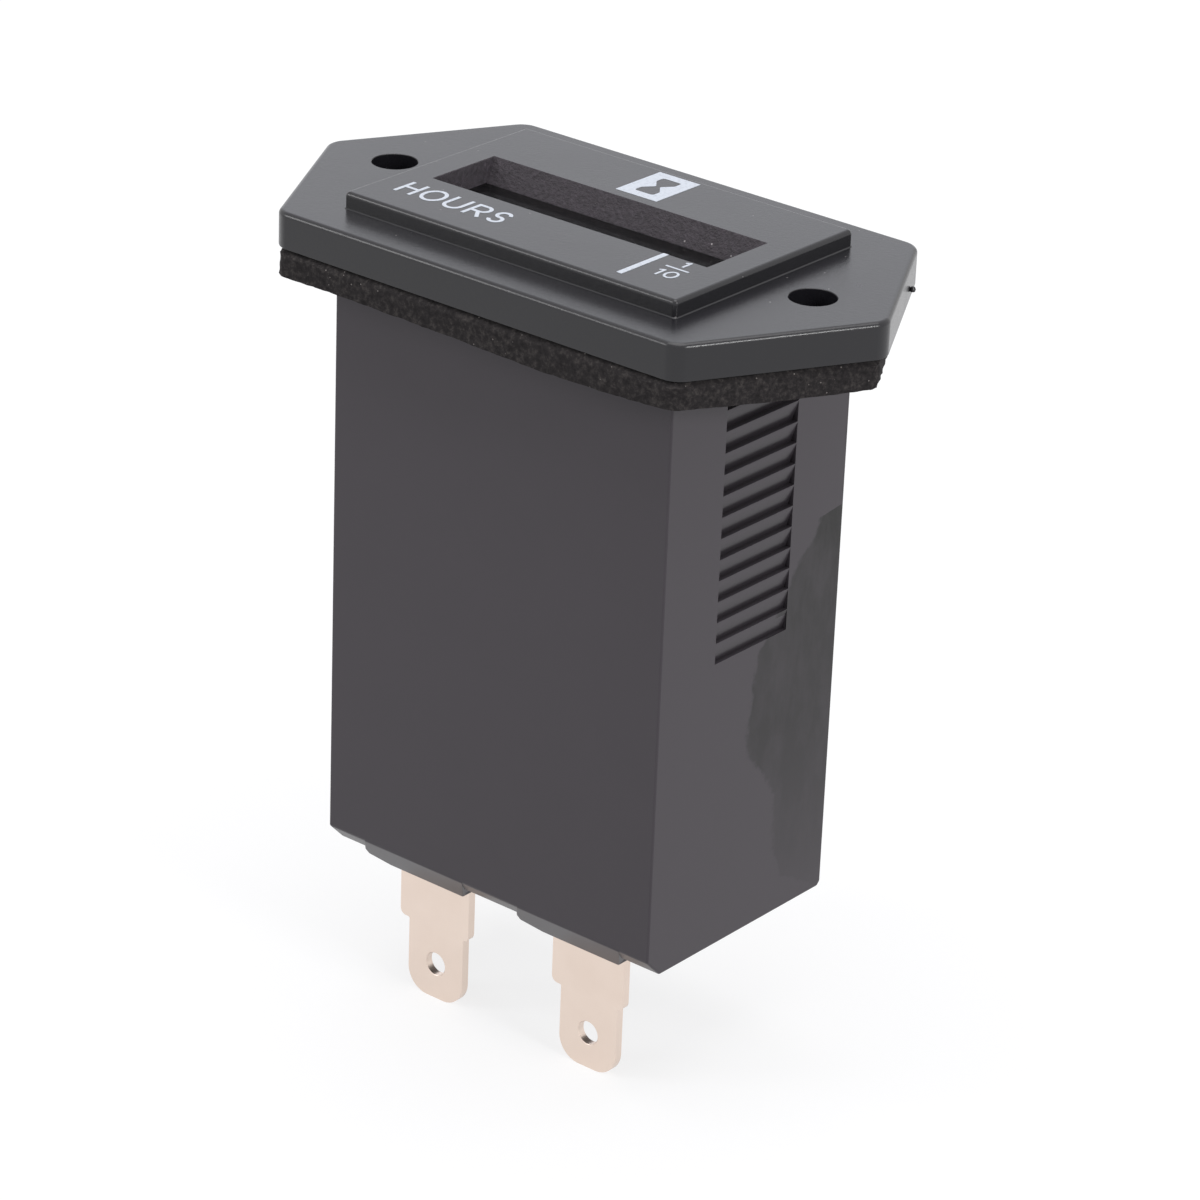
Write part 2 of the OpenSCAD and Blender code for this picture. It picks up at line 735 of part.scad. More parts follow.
// Carry pinion between wheel i and the wheel on its right
module carry_pinion(i) {
    gap_w = digit_pitch - drum_w;
    phase = mesh_phase(carry_angle, 0, ring_teeth, carry_teeth);
    color(frame_plastic) along_x(wheel_x(i) + drum_w / 2 + end_gap / 2, pinion_at) difference() {
        spur(carry_teeth, carry_module, phase, gap_w - end_gap);
        translate([0, 0, -cut]) cylinder(d = pinion_shaft_d + 2 * run_gap, h = gap_w);
    }
}

idler_phase = mesh_phase(idler_angle, 0, tenths_teeth, idler_teeth);
rotor_phase = mesh_phase(rotor_angle, 0, first_teeth, pinion_teeth);

module idler_gear() {
    color(frame_plastic) along_x(idler_x, idler_at) difference() {
        spur(idler_teeth, drive_module, idler_phase, idler_t);
        translate([0, 0, -cut]) cylinder(r = idler_pin_r + run_gap, h = idler_t + 2 * cut);
    }
}

// Arbor between the two plates, with a collar at each end
module arbor(at) {
    x0 = gear_plate_x0 + cut;
    x1 = plate_x1 - cut;
    along_x(x0, at) cylinder(d = arbor_d, h = x1 - x0);
    along_x(gear_plate_x1 + end_gap / 2, at) cylinder(r = collar_r, h = collar_l);
    along_x(plate_x0 - end_gap / 2 - collar_l, at) cylinder(r = collar_r, h = collar_l);
}

// Wheel in its own plane, pinion in the plane of the wheel that it drives
module train_arbor(at, wheel_x0, wheel_teeth, wheel_m, pinion_x0, pinion_m, pinion_phase) {
    color(brass) {
        arbor(at);
        along_x(wheel_x0, at) spur(wheel_teeth, wheel_m, 0, gear_t);
        along_x(pinion_x0 - cut, at) spur(pinion_teeth, pinion_m, pinion_phase, gear_t + 2 * cut);
    }
}

module third_arbor() {
    train_arbor(third_at, third_x, third_teeth, third_module, idler_x, drive_module,
        mesh_phase(third_angle, idler_phase, idler_teeth, pinion_teeth));
}

module second_arbor() {
    train_arbor(second_at, second_x, second_teeth, fine_module, third_x, third_module,
        mesh_phase(second_angle, 0, third_teeth, pinion_teeth));
}

module first_arbor() {
    train_arbor(first_at, first_x, first_teeth, fine_module, second_x, fine_module,
        mesh_phase(first_angle, 0, second_teeth, pinion_teeth));
}

// Two-pole magnet and pinion on one arbor
module rotor() {
    color(steel) {
        arbor(rotor_at);
        along_x(stator_x + stator_t / 2 - magnet_l / 2, rotor_at) cylinder(d = magnet_d, h = magnet_l);
        along_x(first_x - cut, rotor_at)
            spur(pinion_teeth, fine_module, rotor_phase, gear_t + 2 * cut);
    }
}

// Flat stator with the rotor's hole, its two setting notches, the bridge slits and two legs
module motor_stator() {
    y = rotor_at[0];
    hole_r = magnet_d / 2 + air_gap;
    color(steel) difference() {
        union() {
            span([stator_x, stator_x + stator_t], around(y, stator_half), [stator_foot, stator_top]);
            for (leg = limb_y)
                span([stator_x, stator_x + stator_t], around(leg, limb_w / 2), [limb_z, stator_foot + cut]);
        }
        along_x(stator_x - cut, rotor_at) {
            cylinder(r = hole_r, h = stator_t + 2 * cut);
            for (a = [notch_angle, notch_angle + 180])
                rotate(a) translate([hole_r, 0, 0]) cylinder(r = stator_notch_r, h = stator_t + 2 * cut);
        }
        for (z = [stator_foot - cut, stator_top - stator_slit])
            span([stator_x - cut, stator_x + stator_t + cut], around(y, stator_slit),
                [z, z + stator_slit + cut]);
        for (leg = limb_y)
            along_x(stator_x - cut, [leg, core_z]) cylinder(r = screw_r + seat_gap, h = stator_t + 2 * cut);
    }
}

// Bar through the coil, lapped on the stator's legs
module coil_core() {
    color(steel) difference() {
        span([core_x, core_x + stator_t], around(rotor_at[0], stator_half), [limb_z, limb_z + limb_w]);
        for (leg = limb_y)
            along_x(core_x - cut, [leg, core_z]) cylinder(r = screw_r + seat_gap, h = stator_t + 2 * cut);
    }
}

// Room for the core through the bobbin, or for the bobbin's tube through the winding
module coil_bore(x, z) {
    span(around(core_x + stator_t / 2, x / 2), [bobbin_y0 - cut, bobbin_y1 + cut], around(core_z, z / 2));
}

module coil_bobbin() {
    mid = core_x + stator_t / 2;
    color(frame_plastic) difference() {
        union() {
            span(around(mid, tube_x / 2), [bobbin_y0, bobbin_y1], around(core_z, tube_z / 2));
            for (y = [bobbin_y0, bobbin_y1 - cheek_t])
                along_y(mid, y, core_z) cylinder(d = cheek_d, h = cheek_t);
        }
        coil_bore(stator_t + 2 * seat_gap, limb_w + 2 * seat_gap);
    }
}

module coil_winding() {
    color(copper) difference() {
        along_y(core_x + stator_t / 2, bobbin_y0 + cheek_t, core_z)
            cylinder(d = winding_d, h = bobbin_y1 - bobbin_y0 - 2 * cheek_t);
        coil_bore(tube_x, tube_z);
    }
}

module motor_screws() {
    color(steel) for (y = limb_y)
        translate([core_x + stator_t, y, core_z]) rotate([0, -90, 0]) small_screw(screw_l);
}

// Two wires from the bobbin's cheeks down to the board
module coil_leads() {
    foot = core_z - cheek_d / 2;
    color(copper) for (y = [bobbin_y0 + cheek_t / 2, bobbin_y1 - cheek_t / 2])
        translate([core_x + stator_t / 2, y, board_top]) cylinder(r = lead_r, h = foot - board_top);
}

module circuit_board() {
    color(board_green) difference() {
        span(around(0, board_half_x), around(0, board_half_y), [board_z0, board_top]);
        for (s = [-1, 1]) tab_slot(s * tab_pitch / 2, board_z0 - cut, board_top + cut);
    }
}

// Tuning-fork crystal lying on the board, with its two wires turned down
module quartz_crystal() {
    x = crystal_at[0];
    y = crystal_at[1];
    z = board_top + crystal_d / 2 + run_gap;
    color(steel) {
        along_x(x, [y, z]) cylinder(d = crystal_d, h = crystal_l);
        for (s = [-1, 1]) {
            wire = around(y + s * crystal_d / 4, lead_r);
            span([x - wire_turn, x + cut], wire, around(z, lead_r));
            span(around(x - wire_turn, lead_r), wire, [board_top, z + lead_r]);
        }
    }
}

// Small-outline clock chip with four legs on each long side
module clock_chip() {
    leg_y = (chip_size[1] + chip_leg[1]) / 2 - cut;
    color(chip_black) translate([chip_at[0], chip_at[1], board_top]) {
        translate([-chip_size[0] / 2, -chip_size[1] / 2, chip_leg[2]]) cube(chip_size);
        for (i = [-1.5:1.5], s = [-1, 1])
            translate([i * chip_leg_pitch - chip_leg[0] / 2, s * leg_y - chip_leg[1] / 2, 0])
                cube([chip_leg[0], chip_leg[1], 3 * chip_leg[2]]);
    }
}

// Upright electrolytic can with a rolled bead near its foot
module smoothing_capacitor() {
    r = capacitor_d / 2;
    waist = r - bead_depth;
    place = [capacitor_at[0], capacitor_at[1], board_top];
    color(can_blue) translate(place) rotate_extrude() polygon([
        [0, 0], [waist, 0], [r, bead_depth], [r, bead_rise - bead_half], [waist, bead_rise],
        [r, bead_rise + bead_half], [r, capacitor_h - bead_depth], [waist, capacitor_h], [0, capacitor_h]
    ]);
}

// Axial body on two bent wires
module axial_part(x, y, d, l) {
    z = board_top + d / 2 + run_gap;
    along_x(x - l / 2, [y, z]) cylinder(d = d, h = l);
    for (s = [-1, 1]) {
        foot_x = x + s * (l / 2 + wire_turn);
        along_x(min(x + s * (l / 2 - cut), foot_x), [y, z]) cylinder(r = lead_r, h = wire_turn + cut);
        translate([foot_x, y, board_top]) cylinder(r = lead_r, h = d / 2 + run_gap + lead_r);
    }
}

module rectifier_diode() {
    color(chip_black) axial_part(diode_at[0], diode_at[1], diode_d, diode_l);
}

module dropping_resistors() {
    color(resistor_blue) for (i = [0:resistor_count - 1])
        axial_part(resistor_at[0], resistor_at[1] + resistor_step * i, resistor_d, resistor_l);
}

bezel();
window_lens();
flange_gasket();
housing();
terminal_positive();
terminal_negative();
counter_frame();
gear_plate();
gear_plate_screws();
wheel_shaft();
ring_wheel(0);  // ten_thousands_wheel
ring_wheel(1);  // thousands_wheel
ring_wheel(2);  // hundreds_wheel
ring_wheel(3);  // tens_wheel
ring_wheel(4);  // units_wheel
tenths_wheel();
pinion_shaft();
carry_pinion(0);  // carry_pinion_1
carry_pinion(1);  // carry_pinion_2
carry_pinion(2);  // carry_pinion_3
carry_pinion(3);  // carry_pinion_4
carry_pinion(4);  // carry_pinion_5
idler_gear();
third_arbor();
second_arbor();
first_arbor();
rotor();
motor_stator();
coil_core();
coil_bobbin();
coil_winding();
motor_screws();
coil_leads();
circuit_board();
quartz_crystal();
clock_chip();
smoothing_capacitor();
rectifier_diode();
dropping_resistors();
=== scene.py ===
"""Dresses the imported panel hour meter: mouldings, foam, tabs, window, print, numbers and works.

Shapes are built in millimetres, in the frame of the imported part, and become metres when they are made pieces.
"""

import json
import logging
import math
from collections.abc import Callable, Sequence
from dataclasses import dataclass, field
from enum import Enum

import bmesh
import bpy
from mathutils import Matrix, Vector, noise


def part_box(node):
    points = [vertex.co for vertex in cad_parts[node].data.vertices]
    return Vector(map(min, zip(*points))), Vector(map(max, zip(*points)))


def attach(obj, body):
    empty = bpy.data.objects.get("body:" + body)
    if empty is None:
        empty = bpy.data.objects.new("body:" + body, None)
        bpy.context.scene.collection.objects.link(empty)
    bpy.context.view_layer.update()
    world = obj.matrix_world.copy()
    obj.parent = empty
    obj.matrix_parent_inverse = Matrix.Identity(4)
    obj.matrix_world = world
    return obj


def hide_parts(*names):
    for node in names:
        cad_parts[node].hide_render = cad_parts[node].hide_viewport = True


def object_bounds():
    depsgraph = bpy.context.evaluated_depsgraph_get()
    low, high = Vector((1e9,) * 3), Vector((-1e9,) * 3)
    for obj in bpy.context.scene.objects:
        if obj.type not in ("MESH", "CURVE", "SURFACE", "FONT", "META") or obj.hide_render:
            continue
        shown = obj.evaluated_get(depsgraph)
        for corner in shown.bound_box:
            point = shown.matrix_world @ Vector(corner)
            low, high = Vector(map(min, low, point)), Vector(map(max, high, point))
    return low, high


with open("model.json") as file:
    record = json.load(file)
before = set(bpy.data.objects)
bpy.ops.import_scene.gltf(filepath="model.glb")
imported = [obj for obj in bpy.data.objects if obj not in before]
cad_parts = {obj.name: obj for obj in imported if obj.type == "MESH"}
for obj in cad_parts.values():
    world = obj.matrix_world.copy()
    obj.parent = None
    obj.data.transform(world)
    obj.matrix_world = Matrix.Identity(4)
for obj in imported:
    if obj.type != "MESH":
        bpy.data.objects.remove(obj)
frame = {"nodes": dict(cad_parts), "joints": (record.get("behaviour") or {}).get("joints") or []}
cad_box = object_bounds()

log = logging.getLogger("hour_meter")

MM = 0.001
FIXED_BODY = "body"
WHITE = "#ffffff"
# A cutter runs this far past the face it opens, and joined shapes sink this far into each other
PAST = 0.1
# Places this close are the same place, on the part and in the outlines of the font, which has its own unit
SAME = 0.001
FONT_SAME = 1e-5
WHEELS = tuple(
    place + "_wheel" for place in ("ten_thousands", "thousands", "hundreds", "tens", "units", "tenths")
)

Point = tuple[float, float]
Colour = tuple[float, float, float, float]
Socket = bpy.types.NodeSocket
Inputs = dict[str | int, object]


class Axis(Enum):
    """Direction in the part's frame."""

    X = 0
    Y = 1
    Z = 2


class Merge(Enum):
    """What one shape does to another."""

    CUT = "DIFFERENCE"
    JOIN = "UNION"


def srgb(code: str) -> Colour:
    """Turns an sRGB hex colour into a linear one.

    Args:
        code: Colour as #rrggbb.

    Returns:
        Linear red, green, blue and an alpha of one.
    """
    parts = [int(code[i:i + 2], 16) / 255 for i in (1, 3, 5)]
    linear = [p / 12.92 if p <= 0.04045 else ((p + 0.055) / 1.055) ** 2.4 for p in parts]
    return (*linear, 1.0)


def per_metre(size_mm: float) -> float:
    """Returns the texture scale that gives features of this size in millimetres."""
    return 1.0 / (size_mm * MM)


def add_object(name: str, data: bpy.types.ID) -> bpy.types.Object:
    """Adds an object with this data to the scene.

    Args:
        name: Name of the object.
        data: Its mesh, curve, lamp or camera.

    Returns:
        The object.
    """
    made = bpy.data.objects.new(name, data)
    bpy.context.scene.collection.objects.link(made)
    return made


class Nodes:
    """Node tree of a material or a world, filled node by node."""

    def __init__(self, owner: bpy.types.Material | bpy.types.World) -> None:
        """Opens the owner's tree."""
        owner.use_nodes = True
        self.tree = owner.node_tree

    def link(self, node: bpy.types.Node, inputs: Inputs) -> None:
        """Sets a node's sockets to values, or links them to other nodes' outputs.

        Args:
            node: Node to set.
            inputs: Socket names or numbers, each with a value or an output.
        """
        for key, value in inputs.items():
            if isinstance(value, Socket):
                self.tree.links.new(value, node.inputs[key])
            else:
                node.inputs[key].default_value = value

    def add(self, kind: str, inputs: Inputs | None = None, out: int | str = 0, **settings: object) -> Socket:
        """Adds a node with its settings and links.

        Args:
            kind: Node type, without the prefix that all shader nodes share.
            inputs: Socket names or numbers, each with a value or an output.
            out: Name or number of the output to return.
            **settings: Attributes of the node.

        Returns:
            The chosen output.
        """
        node = self.tree.nodes.new("ShaderNode" + kind)
        for name, value in settings.items():
            setattr(node, name, value)
        self.link(node, inputs or {})
        return node.outputs[out]


@dataclass(frozen=True)
class Finish:
    """A surface finish, which becomes one material."""

    name: str

    def material(self) -> bpy.types.Material:
        """Makes the material at its first use.

        Returns:
            The material.
        """
        made = bpy.data.materials.get(self.name)
        if not made:
            made = bpy.data.materials.new(self.name)
            nodes = Nodes(made)
            inputs = self.surface(nodes, nodes.add("TexCoord", out="Object"))
            nodes.link(nodes.tree.nodes["Principled BSDF"], inputs)
        return made

    def surface(self, nodes: Nodes, place: Socket) -> Inputs:
        """Adds the finish's own nodes.

        Args:
            nodes: Node tree of the material.
            place: Output that gives the place on the part.

        Returns:
            What goes into the shader's sockets.
        """
        raise NotImplementedError


@dataclass(frozen=True)
class MouldedPlastic(Finish):
    """Injection-moulded plastic: faint clouding of the tone, the grain that the tool left, and dust."""

    colour: str
    clouded: str
    roughness: float
    grain_mm: float
    grain_height_mm: float
    cloud_mm: float = 7.0
    roughness_spread: float = 0.05
    # Share of the plain surface's reflection, with 0.5 as the whole, which a dull film lowers
    specular: float = 0.5
    # Colour of the dust specks, their spacing and their size as a share of it
    dust: str = ""
    dust_mm: float = 1.3
    speck: float = 0.06

    def surface(self, nodes: Nodes, place: Socket) -> Inputs:
        """Clouds the tone, lets the gloss follow it, and adds dust and grain.

        Args:
            nodes: Node tree of the material.
            place: Output that gives the place on the part.

        Returns:
            What goes into the shader's sockets.
        """
        cloud = nodes.add("TexNoise", {
            "Vector": place, "Scale": per_metre(self.cloud_mm), "Detail": 5.0, "Roughness": 0.6,
        })
        tone = nodes.add("Mix", {0: cloud, 6: srgb(self.colour), 7: srgb(self.clouded)}, 2, data_type="RGBA")
        if self.dust:
            near = nodes.add("TexVoronoi", {"Vector": place, "Scale": per_metre(self.dust_mm)}, "Distance")
            settled = nodes.add("Math", {0: near, 1: self.speck}, operation="LESS_THAN")
            tone = nodes.add("Mix", {0: settled, 6: tone, 7: srgb(self.dust)}, 2, data_type="RGBA")
        low, high = self.roughness - self.roughness_spread, self.roughness + self.roughness_spread
        gloss = nodes.add("MapRange", {"Value": cloud, "To Min": low, "To Max": high})
        pits = nodes.add("TexNoise", {
            "Vector": place, "Scale": per_metre(self.grain_mm), "Detail": 3.0, "Roughness": 0.7,
        })
        grain = nodes.add("Bump", {"Height": pits, "Strength": 1.0, "Distance": self.grain_height_mm * MM})
        return {"Base Color": tone, "Roughness": gloss, "Normal": grain, "Specular IOR Level": self.specular}


@dataclass(frozen=True)
class HandledPlastic(MouldedPlastic):
    """Moulded plastic with a dull bloom, gone where the right face is wiped; deep in the teeth, painted shade
    darkens it.
    """

    # Tone of the wiped patch, also used as painted shade deep in the teeth
    wiped_and_shade_colour: str = "#000000"
    wiped_roughness: float = 0.3
    face_x: float = 0.0
    # Left border of the patch, from its upper end down: place across, height, and how clean it is wiped there
    border: tuple[tuple[float, float, float], ...] = ()
    ragged_mm: float = 1.4
    ragged_reach: float = 0.9
    soft_mm: float = 0.35
    # Streaks of the wiping, drawn out along the face's height: between which values of their pattern they
    # clear more and more, and what share they clear at the least
    smear_mm: float = 2.5
    smear_squeeze: tuple[float, float, float] = (1.0, 1.0, 0.45)
    smear_from: float = 0.35
    smear_to: float = 0.6
    thinnest: float = 0.6
    # Half width and foot of the toothed strips, the depths over which painted shade darkens them, and how far
    # it does
    strip_half: float = 4.85
    strip_foot: float = -27.1
    strip_depths: Point = (0.08, 0.4)
    tooth_shade_share: float = 0.5

    def tooth_shade(self, nodes: Nodes, place: Socket) -> Socket:
        """Works out the painted shade that darkens the toothed strips of the narrow sides deep down.

        Args:
            nodes: Node tree of the material.
            place: Output that gives the place on the part.

        Returns:
            That share, which is nought outside the strips.
        """
        axes = nodes.add("SeparateXYZ", {0: place}).node.outputs
        out, across = (nodes.add("Math", {0: axes[name]}, operation="ABSOLUTE") for name in "XY")
        shallow, deep = ((self.face_x - depth) * MM for depth in self.strip_depths)
        share = nodes.add("MapRange", {
            "Value": out, "From Min": shallow, "From Max": deep, "To Max": self.tooth_shade_share,
        })
        limits = (("LESS_THAN", across, self.strip_half), ("GREATER_THAN", axes["Z"], self.strip_foot))
        for test, value, limit in limits:
            within = nodes.add("Math", {0: value, 1: limit * MM}, operation=test)
            share = nodes.add("Math", {0: share, 1: within}, operation="MULTIPLY")
        return share

    def past_border(self, nodes: Nodes, axes: bpy.types.NodeOutputs) -> tuple[Socket, Socket]:
        """Works out how far a place lies to the right of the patch's border.

        Args:
            nodes: Node tree of the material.
            axes: The place's X, Y and Z.

        Returns:
            That distance, and how clean the patch is wiped at the place's height.
        """
        high, low = self.border[0][1], self.border[-1][1]
        near, far = min(y for y, _, _ in self.border), max(y for y, _, _ in self.border)
        share = nodes.add("MapRange", {"Value": axes["Z"], "From Min": high * MM, "From Max": low * MM})
        ramp = nodes.add("ValToRGB", {0: share}).node
        stops = ramp.color_ramp.elements
        while len(stops) < len(self.border):
            stops.new(0.5)
        for stop, (y, z, clean) in zip(stops, self.border):
            stop.position = (z - high) / (low - high)
            stop.color = (*[(y - near) / (far - near)] * 3, clean)
        limit = nodes.add("MapRange", {"Value": ramp.outputs[0], "To Min": near * MM, "To Max": far * MM})
        return nodes.add("Math", {0: axes["Y"], 1: limit}, operation="SUBTRACT"), ramp.outputs["Alpha"]

    def patch(self, nodes: Nodes, place: Socket) -> Socket:
        """Works out how bare the right face is.

        Args:
            nodes: Node tree of the material.
            place: Output that gives the place on the part.

        Returns:
            That share, which is nought outside the wiped patch.
        """
        axes = nodes.add("SeparateXYZ", {0: place}).node.outputs
        beyond, clean = self.past_border(nodes, axes)
        rag = nodes.add("TexNoise", {
            "Vector": place, "Scale": per_metre(self.ragged_mm), "Detail": 4.0, "Roughness": 0.65,
        })
        reach, soft = self.ragged_reach * MM, self.soft_mm * MM
        offset = nodes.add("MapRange", {"Value": rag, "To Min": -reach, "To Max": reach})
        uneven = nodes.add("Math", {0: beyond, 1: offset}, operation="ADD")
        share = nodes.add("MapRange", {
            "Value": uneven, "From Min": -soft, "From Max": soft,
        }, interpolation_type="SMOOTHSTEP")
        on_face = nodes.add("Math", {0: axes["X"], 1: (self.face_x - PAST) * MM}, operation="GREATER_THAN")
        drawn = nodes.add("Mapping", {"Vector": place, "Scale": self.smear_squeeze})
        smear = nodes.add("TexNoise", {
            "Vector": drawn, "Scale": per_metre(self.smear_mm), "Detail": 5.0, "Roughness": 0.6,
        })
        cover = nodes.add("MapRange", {
            "Value": smear, "From Min": self.smear_from, "From Max": self.smear_to, "To Min": self.thinnest,
        })
        for part in (on_face, cover, clean):
            share = nodes.add("Math", {0: share, 1: part}, operation="MULTIPLY")
        return share

    def surface(self, nodes: Nodes, place: Socket) -> Inputs:
        """Lays the wiped patch, and painted shade deep in the teeth, over the dull surface.

        Args:
            nodes: Node tree of the material.
            place: Output that gives the place on the part.

        Returns:
            What goes into the shader's sockets.
        """
        dull = super().surface(nodes, place)
        # The wiped patch and the painted shade deep in the teeth, which both take the dark tone and smoother
        # gloss
        wiped_and_shaded = nodes.add("Math", {
            0: self.patch(nodes, place), 1: self.tooth_shade(nodes, place),
        }, operation="MAXIMUM")
        tone = nodes.add("Mix", {0: wiped_and_shaded, 6: dull["Base Color"], 7: srgb(self.wiped_and_shade_colour)}, 2, data_type="RGBA")
        gloss = nodes.add("Mix", {0: wiped_and_shaded, 2: dull["Roughness"], 3: self.wiped_roughness})
        return dull | {"Base Color": tone, "Roughness": gloss}


@dataclass(frozen=True)
class CellFoam(Finish):
    """Closed-cell foam rubber, cut: fine torn cells in dark and paler browns, with a few light flecks."""

    pit: str
    skin: str
    rim: str
    fleck: str
    # Where pit, skin and rim stand in the pattern of the tears
    tone_at: tuple[float, float, float] = (0.3, 0.5, 0.75)
    fleck_mm: float = 0.8
    fleck_share: float = 0.07
    cell_mm: float = 0.3
    tear_mm: float = 0.5
    cell_depth_mm: float = 0.05
    roughness: float = 0.95
    specular: float = 0.25

    def surface(self, nodes: Nodes, place: Socket) -> Inputs:
        """Colours the tears, strews the flecks and presses the cells in.

        Args:
            nodes: Node tree of the material.
            place: Output that gives the place on the part.

        Returns:
            What goes into the shader's sockets.
        """
        cells = nodes.add("TexVoronoi", {
            "Vector": place, "Scale": per_metre(self.cell_mm), "Randomness": 1.0,
        }, "Distance")
        tears = nodes.add("TexNoise", {
            "Vector": place, "Scale": per_metre(self.tear_mm), "Detail": 8.0, "Roughness": 0.75,
        })
        relief = nodes.add("Math", {0: cells, 1: tears}, operation="MULTIPLY")
        tone = nodes.add("ValToRGB", {0: tears})
        stops = tone.node.color_ramp.elements
        stops.new(0.5)
        for stop, at, colour in zip(stops, self.tone_at, (self.pit, self.skin, self.rim)):
            stop.position, stop.color = at, srgb(colour)
        near = nodes.add("TexVoronoi", {"Vector": place, "Scale": per_metre(self.fleck_mm)}, "Distance")
        torn = nodes.add("Math", {0: near, 1: self.fleck_share}, operation="LESS_THAN")
        tone = nodes.add("Mix", {0: torn, 6: tone, 7: srgb(self.fleck)}, 2, data_type="RGBA")
        bump = nodes.add("Bump", {"Height": relief, "Strength": 1.0, "Distance": self.cell_depth_mm * MM})
        return {
            "Base Color": tone, "Roughness": self.roughness, "Specular IOR Level": self.specular,
            "Normal": bump,
        }


@dataclass(frozen=True)
class WorkedMetal(Finish):
    """Rolled, drawn or turned metal: fine streaks along the way it was worked and a faint stain."""

    colour: str
    stained: str
    roughness: float
    streak_mm: float
    streak_along: Axis
    streak_stretch: float = 30.0
    streak_height_mm: float = 0.002
    # Least and greatest roughness over the streaks, as shares of the mean one
    streak_gloss: Point = (0.8, 1.2)
    stain_mm: float = 4.0

    def surface(self, nodes: Nodes, place: Socket) -> Inputs:
        """Stains the tone and lets gloss and relief follow the streaks.

        Args:
            nodes: Node tree of the material.
            place: Output that gives the place on the part.

        Returns:
            What goes into the shader's sockets.
        """
        squeeze = [1.0, 1.0, 1.0]
        squeeze[self.streak_along.value] = 1.0 / self.streak_stretch
        drawn = nodes.add("Mapping", {"Vector": place, "Scale": squeeze})
        streaks = nodes.add("TexNoise", {"Vector": drawn, "Scale": per_metre(self.streak_mm), "Detail": 3.0})
        stain = nodes.add("TexNoise", {"Vector": place, "Scale": per_metre(self.stain_mm), "Detail": 4.0})
        tone = nodes.add("Mix", {0: stain, 6: srgb(self.colour), 7: srgb(self.stained)}, 2, data_type="RGBA")
        low, high = (self.roughness * share for share in self.streak_gloss)
        gloss = nodes.add("MapRange", {"Value": streaks, "To Min": low, "To Max": high})
        bump = nodes.add("Bump", {"Height": streaks, "Strength": 1.0, "Distance": self.streak_height_mm * MM})
        return {"Base Color": tone, "Metallic": 1.0, "Roughness": gloss, "Normal": bump}


@dataclass(frozen=True)
class ClearAcrylic(Finish):
    """Polished clear acrylic with the faint haze of handling."""

    colour: str
    roughness: float
    haze_mm: float = 5.0
    ior: float = 1.49

    def surface(self, nodes: Nodes, place: Socket) -> Inputs:
        """Lets the gloss follow the haze.

        Args:
            nodes: Node tree of the material.
            place: Output that gives the place on the part.

        Returns:
            What goes into the shader's sockets.
        """
        haze = nodes.add("TexNoise", {"Vector": place, "Scale": per_metre(self.haze_mm), "Detail": 5.0})
        gloss = nodes.add("MapRange", {"Value": haze, "To Min": 0.0, "To Max": 2.0 * self.roughness})
        return {
            "Base Color": srgb(self.colour), "Roughness": gloss, "IOR": self.ior, "Transmission Weight": 1.0,
        }


@dataclass(frozen=True)
class PadPrint(Finish):
    """Pad-printed ink: nearly even, with thin spots where the plastic's grain shows through."""

    colour: str
    thin: str
    roughness: float = 0.5
    spot_mm: float = 0.35
    # Values of the spots' pattern between which the ink thins out
    spot_from: float = 0.5
    spot_to: float = 0.9

    def surface(self, nodes: Nodes, place: Socket) -> Inputs:
        """Thins the colour in spots.

        Args:
            nodes: Node tree of the material.
            place: Output that gives the place on the part.

        Returns:
            What goes into the shader's sockets.
        """
        spots = nodes.add("TexNoise", {"Vector": place, "Scale": per_metre(self.spot_mm), "Detail": 3.0})
        share = nodes.add("MapRange", {"Value": spots, "From Min": self.spot_from, "From Max": self.spot_to})
        tone = nodes.add("Mix", {0: share, 6: srgb(self.colour), 7: srgb(self.thin)}, 2, data_type="RGBA")
        return {"Base Color": tone, "Roughness": self.roughness}


@dataclass(frozen=True)
class WoundWire(Finish):
    """Enamelled copper wire wound side by side, drawn coarser than the real wire so that its turns show."""

    colour: str
    # Colour of the painted shade in the grooves between the turns
    groove_shade: str
    turn_mm: float
    turns_along: Axis
    # Depth of a groove as a share of a turn
    groove_share: float = 0.25
    metallic: float = 0.8
    roughness: float = 0.35

    def surface(self, nodes: Nodes, place: Socket) -> Inputs:
        """Lets relief follow the turns, and darkens the colour in the grooves between them as painted shade.

        Args:
            nodes: Node tree of the material.
            place: Output that gives the place on the part.

        Returns:
            What goes into the shader's sockets.
        """
        turns = nodes.add("TexWave", {
            "Vector": place, "Scale": per_metre(self.turn_mm) / math.tau, "Distortion": 0.4, "Detail": 1.0,
        }, 1, bands_direction=self.turns_along.name)
        tone = nodes.add("Mix", {0: turns, 6: srgb(self.groove_shade), 7: srgb(self.colour)}, 2, data_type="RGBA")
        depth = self.turn_mm * MM * self.groove_share
        bump = nodes.add("Bump", {"Height": turns, "Strength": 1.0, "Distance": depth})
        return {"Base Color": tone, "Metallic": self.metallic, "Roughness": self.roughness, "Normal": bump}


